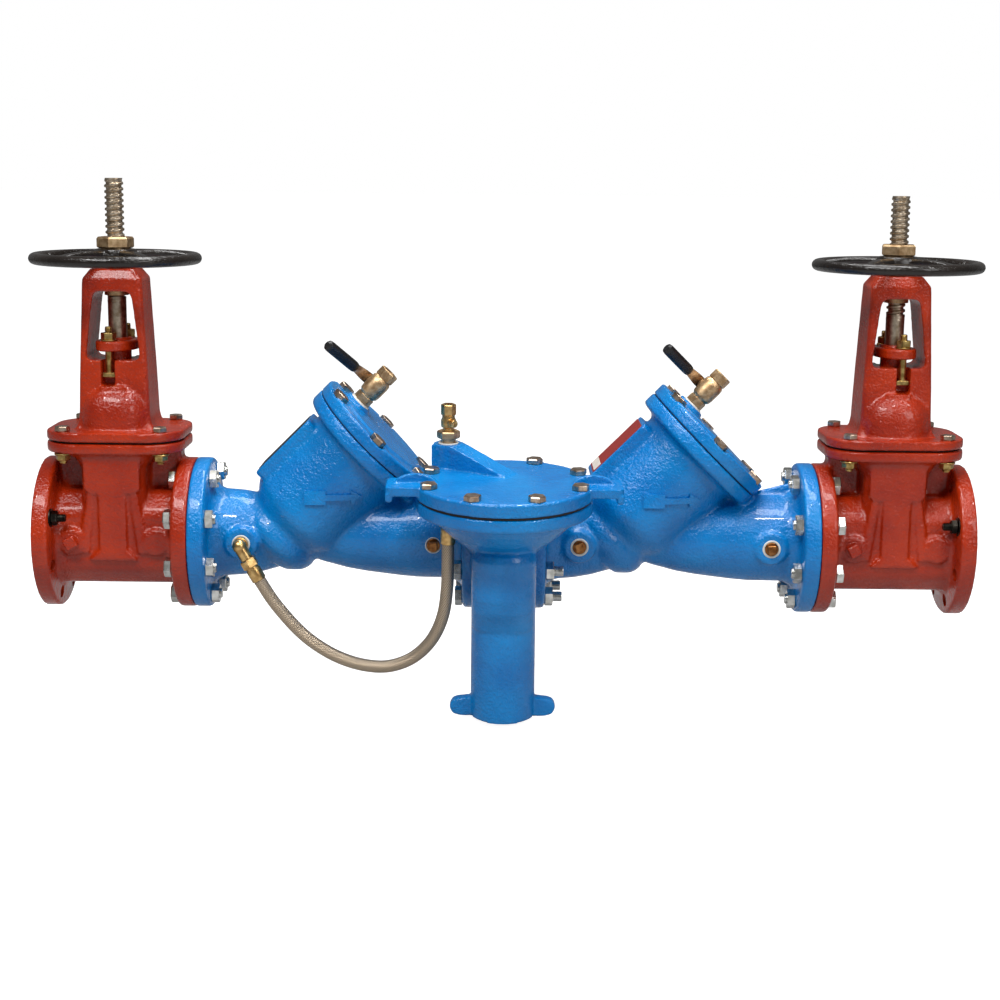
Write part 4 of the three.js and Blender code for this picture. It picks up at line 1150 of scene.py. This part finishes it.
@dataclass
class SensingHose:
    """Braided hose from the first valve's inlet port to the relief valve, with its fittings."""

    radius: float = 9.3
    elbow: Point = (-393.5, -88, -4)
    route: tuple[Point, ...] = (
        (-363.8, -88, -55.5), (-340, -89, -92), (-303, -93, -133), (-266, -99, -159), (-228, -105, -174.5),
        (-191, -111, -180), (-161, -116, -176), (-131, -121, -161), (-105, -126, -133), (-89, -129.5, -96),
        (-83, -131, -53), (-82, -132, -15), (-82, -133.4, 12.4))

    def build(self, out: Finisher, looks: Finishes) -> None:
        """Builds the braid and the brass fittings at its two ends."""
        path = smooth_path(self.route, 12)
        hose = Surfaces().add(sweep(path, circle(self.radius, 24), (0, 1, 0)))
        obj = hose.mesh("braided_hose")
        self.map_braid(obj, path, 24)
        shade(obj, 60)
        out.dress(obj, looks.braid, Body.VALVE, "braid", "sensing_hose")
        down = place(self.elbow, (0.5, 0, -0.866), (0, 1, 0))
        into = place(self.elbow, (0, 1, 0), (1, 0, 0))
        elbow = Surfaces().rod(8.6, 0, 34, into, 32).add(ball((10.6, 10.6, 10.6)), down)
        elbow.rod(9.4, 2, 22, down, 32, 0.6).tube(8.4, 11.4, 8, 14, into, 32)
        out.turned("hose_elbow_brass", elbow, looks.brass, Body.VALVE, "brass", "hose_elbow")
        nut = Surfaces().hexagon(22, 22.5, 36, down).rod(9.6, 35, 40, down, 32)
        nut.add(revolve([(10.6, 39), (11, 41), (11, 57), (10.4, 58.3)], 40), down)
        out.turned("lower_ferrule", nut, looks.brass, Body.VALVE, "brass", "hose_nut_lower")
        top = tilt_x(ReliefValve.lean) @ shift(-82, ReliefValve.axis_y)
        nut = Surfaces().hexagon(22, 49, 64, top).rod(9.6, 45, 50, top, 32)
        nut.add(revolve([(10.4, 24), (11, 25.5), (11, 45), (10.6, 46.5)], 40), top)
        out.turned("upper_ferrule", nut, looks.brass, Body.VALVE, "brass", "hose_nut_upper")

    def map_braid(self, obj: bpy.types.Object, path: np.ndarray, sides: int) -> None:
        """Maps the hose: u is the share of a turn, v the distance along it in metres."""
        along = np.concatenate(([0], np.cumsum(np.linalg.norm(np.diff(path, axis=0), axis=1)))) * MM
        data = obj.data
        corner = np.empty(len(data.loops), int)
        data.loops.foreach_get("vertex_index", corner)
        start = np.empty(len(data.polygons), int)
        total = np.empty(len(data.polygons), int)
        data.polygons.foreach_get("loop_start", start)
        data.polygons.foreach_get("loop_total", total)
        face = np.repeat(np.arange(len(total)), total)
        inside = np.minimum(corner, len(path) * sides - 1)
        column, row = inside % sides, inside // sides
        low = np.full(len(total), sides)
        np.minimum.at(low, face, column)
        high = np.zeros(len(total), int)
        np.maximum.at(high, face, column)
        seam = (high[face] - low[face] > sides // 2) & (column < sides // 2)
        layer = data.uv_layers.new(name="weave")
        layer.data.foreach_set("uv", np.stack(((column + seam * sides) / sides, along[row]), -1).ravel())


# ---------------------------------------------------------------- flange bolts


@dataclass
class FlangeBolts:
    """Eight bolts through one flange joint, with heads on one side and nuts on the other."""

    name: str
    head_x: float
    nut_x: float
    tail: float = 3.5
    skip: tuple[int, ...] = ()

    def build(self, out: Finisher, looks: Finishes) -> None:
        """Builds the heads and nuts."""
        heads, nuts = Surfaces(), Surfaces()
        way = 1 if self.nut_x > self.head_x else -1
        for k, (y, z) in enumerate(ring_places(BOLT_CIRCLE_R, BOLTS_PER_FLANGE, FIRST_BOLT_ANGLE)):
            if k in self.skip:
                continue
            Fastener(26, 11.5, 0).put(heads, place((self.head_x, y, z), (-way, 0, 0), (0, 1, 0)), k)
            nut_at = place((self.nut_x, y, z), (way, 0, 0), (0, 1, 0))
            Fastener(26, 12.5, 0, 8, self.tail).put(nuts, nut_at, k * 2)
        out.turned(f"{self.name}_heads", heads, looks.zinc, Body.VALVE, "yellow_zinc")
        out.turned(f"{self.name}_nuts", nuts, looks.zinc, Body.VALVE, "yellow_zinc")


# ---------------------------------------------------------------- studio


@dataclass
class Studio:
    """Camera, white floor, and the light of a bright hall."""

    lens: float = 64.8
    eye: Point = (-0.0066, -2.704, 0.565)
    pitch: float = 10.71
    roll: float = 0.58
    floor_z: float = -0.262

    def camera(self) -> None:
        """Sets the camera level with the pipe, a little above it and rolled very slightly."""
        data = bpy.data.cameras.new("camera")
        data.lens, data.sensor_width, data.clip_end = self.lens, 36.0, 100.0
        p, r = math.radians(self.pitch), math.radians(self.roll)
        right, up = Vector((1, 0, 0)), Vector((0, math.sin(p), math.cos(p)))
        back = Vector((0, -math.cos(p), math.sin(p)))
        x, y = right * math.cos(r) + up * math.sin(r), up * math.cos(r) - right * math.sin(r)
        turn = Matrix((x, y, back)).transposed().to_4x4()
        obj = bpy.data.objects.new("camera", data)
        obj.matrix_world = Matrix.Translation(self.eye) @ turn
        bpy.context.scene.collection.objects.link(obj)
        bpy.context.scene.camera = obj

    def floor(self) -> None:
        """Lays a wide floor that looks white to the camera but throws little light back."""
        data = bpy.data.meshes.new("floor")
        s = 40.0
        corners = ((-s, -s), (s, -s), (s, s), (-s, s))
        data.from_pydata([(x, y, self.floor_z) for x, y in corners], [], [(0, 1, 2, 3)])
        obj = bpy.data.objects.new("floor", data)
        bpy.context.scene.collection.objects.link(obj)
        n = Nodes("floor_pale")
        n.shader.inputs["Base Color"].default_value = (0.45, 0.45, 0.45, 1)
        n.shader.inputs["Roughness"].default_value = 0.9
        n.shader.inputs["Emission Color"].default_value = (1, 1, 1, 1)
        glow = n.add("ShaderNodeMath")
        glow.operation = "MULTIPLY"
        glow.inputs[1].default_value = 0.96
        n.link(n.add("ShaderNodeLightPath").outputs["Is Camera Ray"], glow.inputs[0])
        n.link(glow.outputs[0], n.shader.inputs["Emission Strength"])
        data.materials.append(n.material)

    def lights(self) -> None:
        """Hangs three soft boxes, and four small lamps that give the paint its sparkle."""
        world = bpy.data.worlds.new("room")
        world.use_nodes = True
        tree = world.node_tree
        tree.nodes["Background"].inputs["Color"].default_value = (1, 1, 1, 1)
        ray = tree.nodes.new("ShaderNodeLightPath")
        level = tree.nodes.new("ShaderNodeMapRange")
        level.inputs["To Min"].default_value, level.inputs["To Max"].default_value = 0.17, 1.0
        tree.links.new(ray.outputs["Is Camera Ray"], level.inputs["Value"])
        tree.links.new(level.outputs["Result"], tree.nodes["Background"].inputs["Strength"])
        bpy.context.scene.world = world
        for name, eye, size, power in (("key", (-1.2, -2.0, 2.8), (1.6, 0.8), 66),
                                       ("fill", (1.9, -2.2, 1.4), (1.0, 1.0), 20),
                                       ("top", (0.3, 0.2, 2.8), (2.8, 0.5), 70),
                                       ("lamp_a", (-1.9, -1.6, 3.4), (0.2, 0.2), 16),
                                       ("lamp_b", (-0.5, -2.4, 3.2), (0.2, 0.2), 16),
                                       ("lamp_c", (0.9, -1.9, 3.4), (0.2, 0.2), 16),
                                       ("lamp_d", (2.2, -1.2, 3.2), (0.2, 0.2), 14)):
            data = bpy.data.lights.new(name, "AREA")
            data.shape, data.size, data.size_y, data.energy = "RECTANGLE", size[0], size[1], power
            obj = bpy.data.objects.new(name, data)
            obj.location = eye
            obj.rotation_euler = (Vector((0, 0, 0.05)) - Vector(eye)).to_track_quat("-Z", "Y").to_euler()
            bpy.context.scene.collection.objects.link(obj)

    def build(self) -> None:
        """Sets up the studio."""
        self.camera()
        self.floor()
        self.lights()
        bpy.context.scene.view_settings.view_transform = "Standard"


def dress_hidden_nodes(looks: Finishes) -> None:
    """Gives the inner CAD nodes, which keep their own shape, their finishes."""
    inner = {
        "wedge": looks.rubber, "seat_ring": looks.bronze, "check_poppet": looks.bronze,
        "check_spring": looks.steel, "test_cock_ball": looks.steel, "relief_seat": looks.bronze,
        "relief_stem": looks.bronze, "relief_spring": looks.steel,
    }
    for name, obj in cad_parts.items():
        for key, material in inner.items():
            if name.endswith(key):
                obj.data.materials.clear()
                obj.data.materials.append(material)


def centre_of(node: str) -> float:
    """The x of a node's middle, in mm."""
    low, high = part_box(node)
    return (low[0] + high[0]) / 2 / MM


def main() -> None:
    """Builds the studio, then every sub-assembly from the inlet to the outlet."""
    logging.basicConfig(level=logging.INFO, format="%(name)s %(message)s")
    out, looks, studio = Finisher(), Finishes(), Studio()
    studio.build()
    SensingHose().build(out, looks)
    first_x, second_x, joint_x, middle = -344.6, 158.0, 469.0, 40.15
    first_ports = (-48.9, True, ""), (-106 - first_x, False, "first_outlet_plug")
    CheckValve("first", first_x, -joint_x - first_x, -middle - first_x, (FLANGE_R, 25), (112, 22),
               first_ports, "dark", False).build(out, looks)
    CheckValve("second", second_x, middle - second_x, joint_x - second_x, (112, 22), (FLANGE_R, 25),
               ((113 - second_x, True, "second_inlet_plug"), (400.6 - second_x, True, "second_outlet_plug")),
               "red", True).build(out, looks)
    ReliefValve().build(out, looks)
    GateValve("inlet", centre_of("inlet_stem"), -1, 0).build(out, looks)
    GateValve("outlet", centre_of("outlet_stem"), 1, 15).build(out, looks)
    for bolts in (FlangeBolts("inlet_joint", -493.2, -444.0),
                  FlangeBolts("middle_joint", -62.2, 62.2, 14.0, (2, 3)),
                  FlangeBolts("outlet_joint", 493.2, 444.0)):
        bolts.build(out, looks)
    dress_hidden_nodes(looks)
    log.info("%d pieces", len(out.made))


if __name__ == "__main__":
    main()
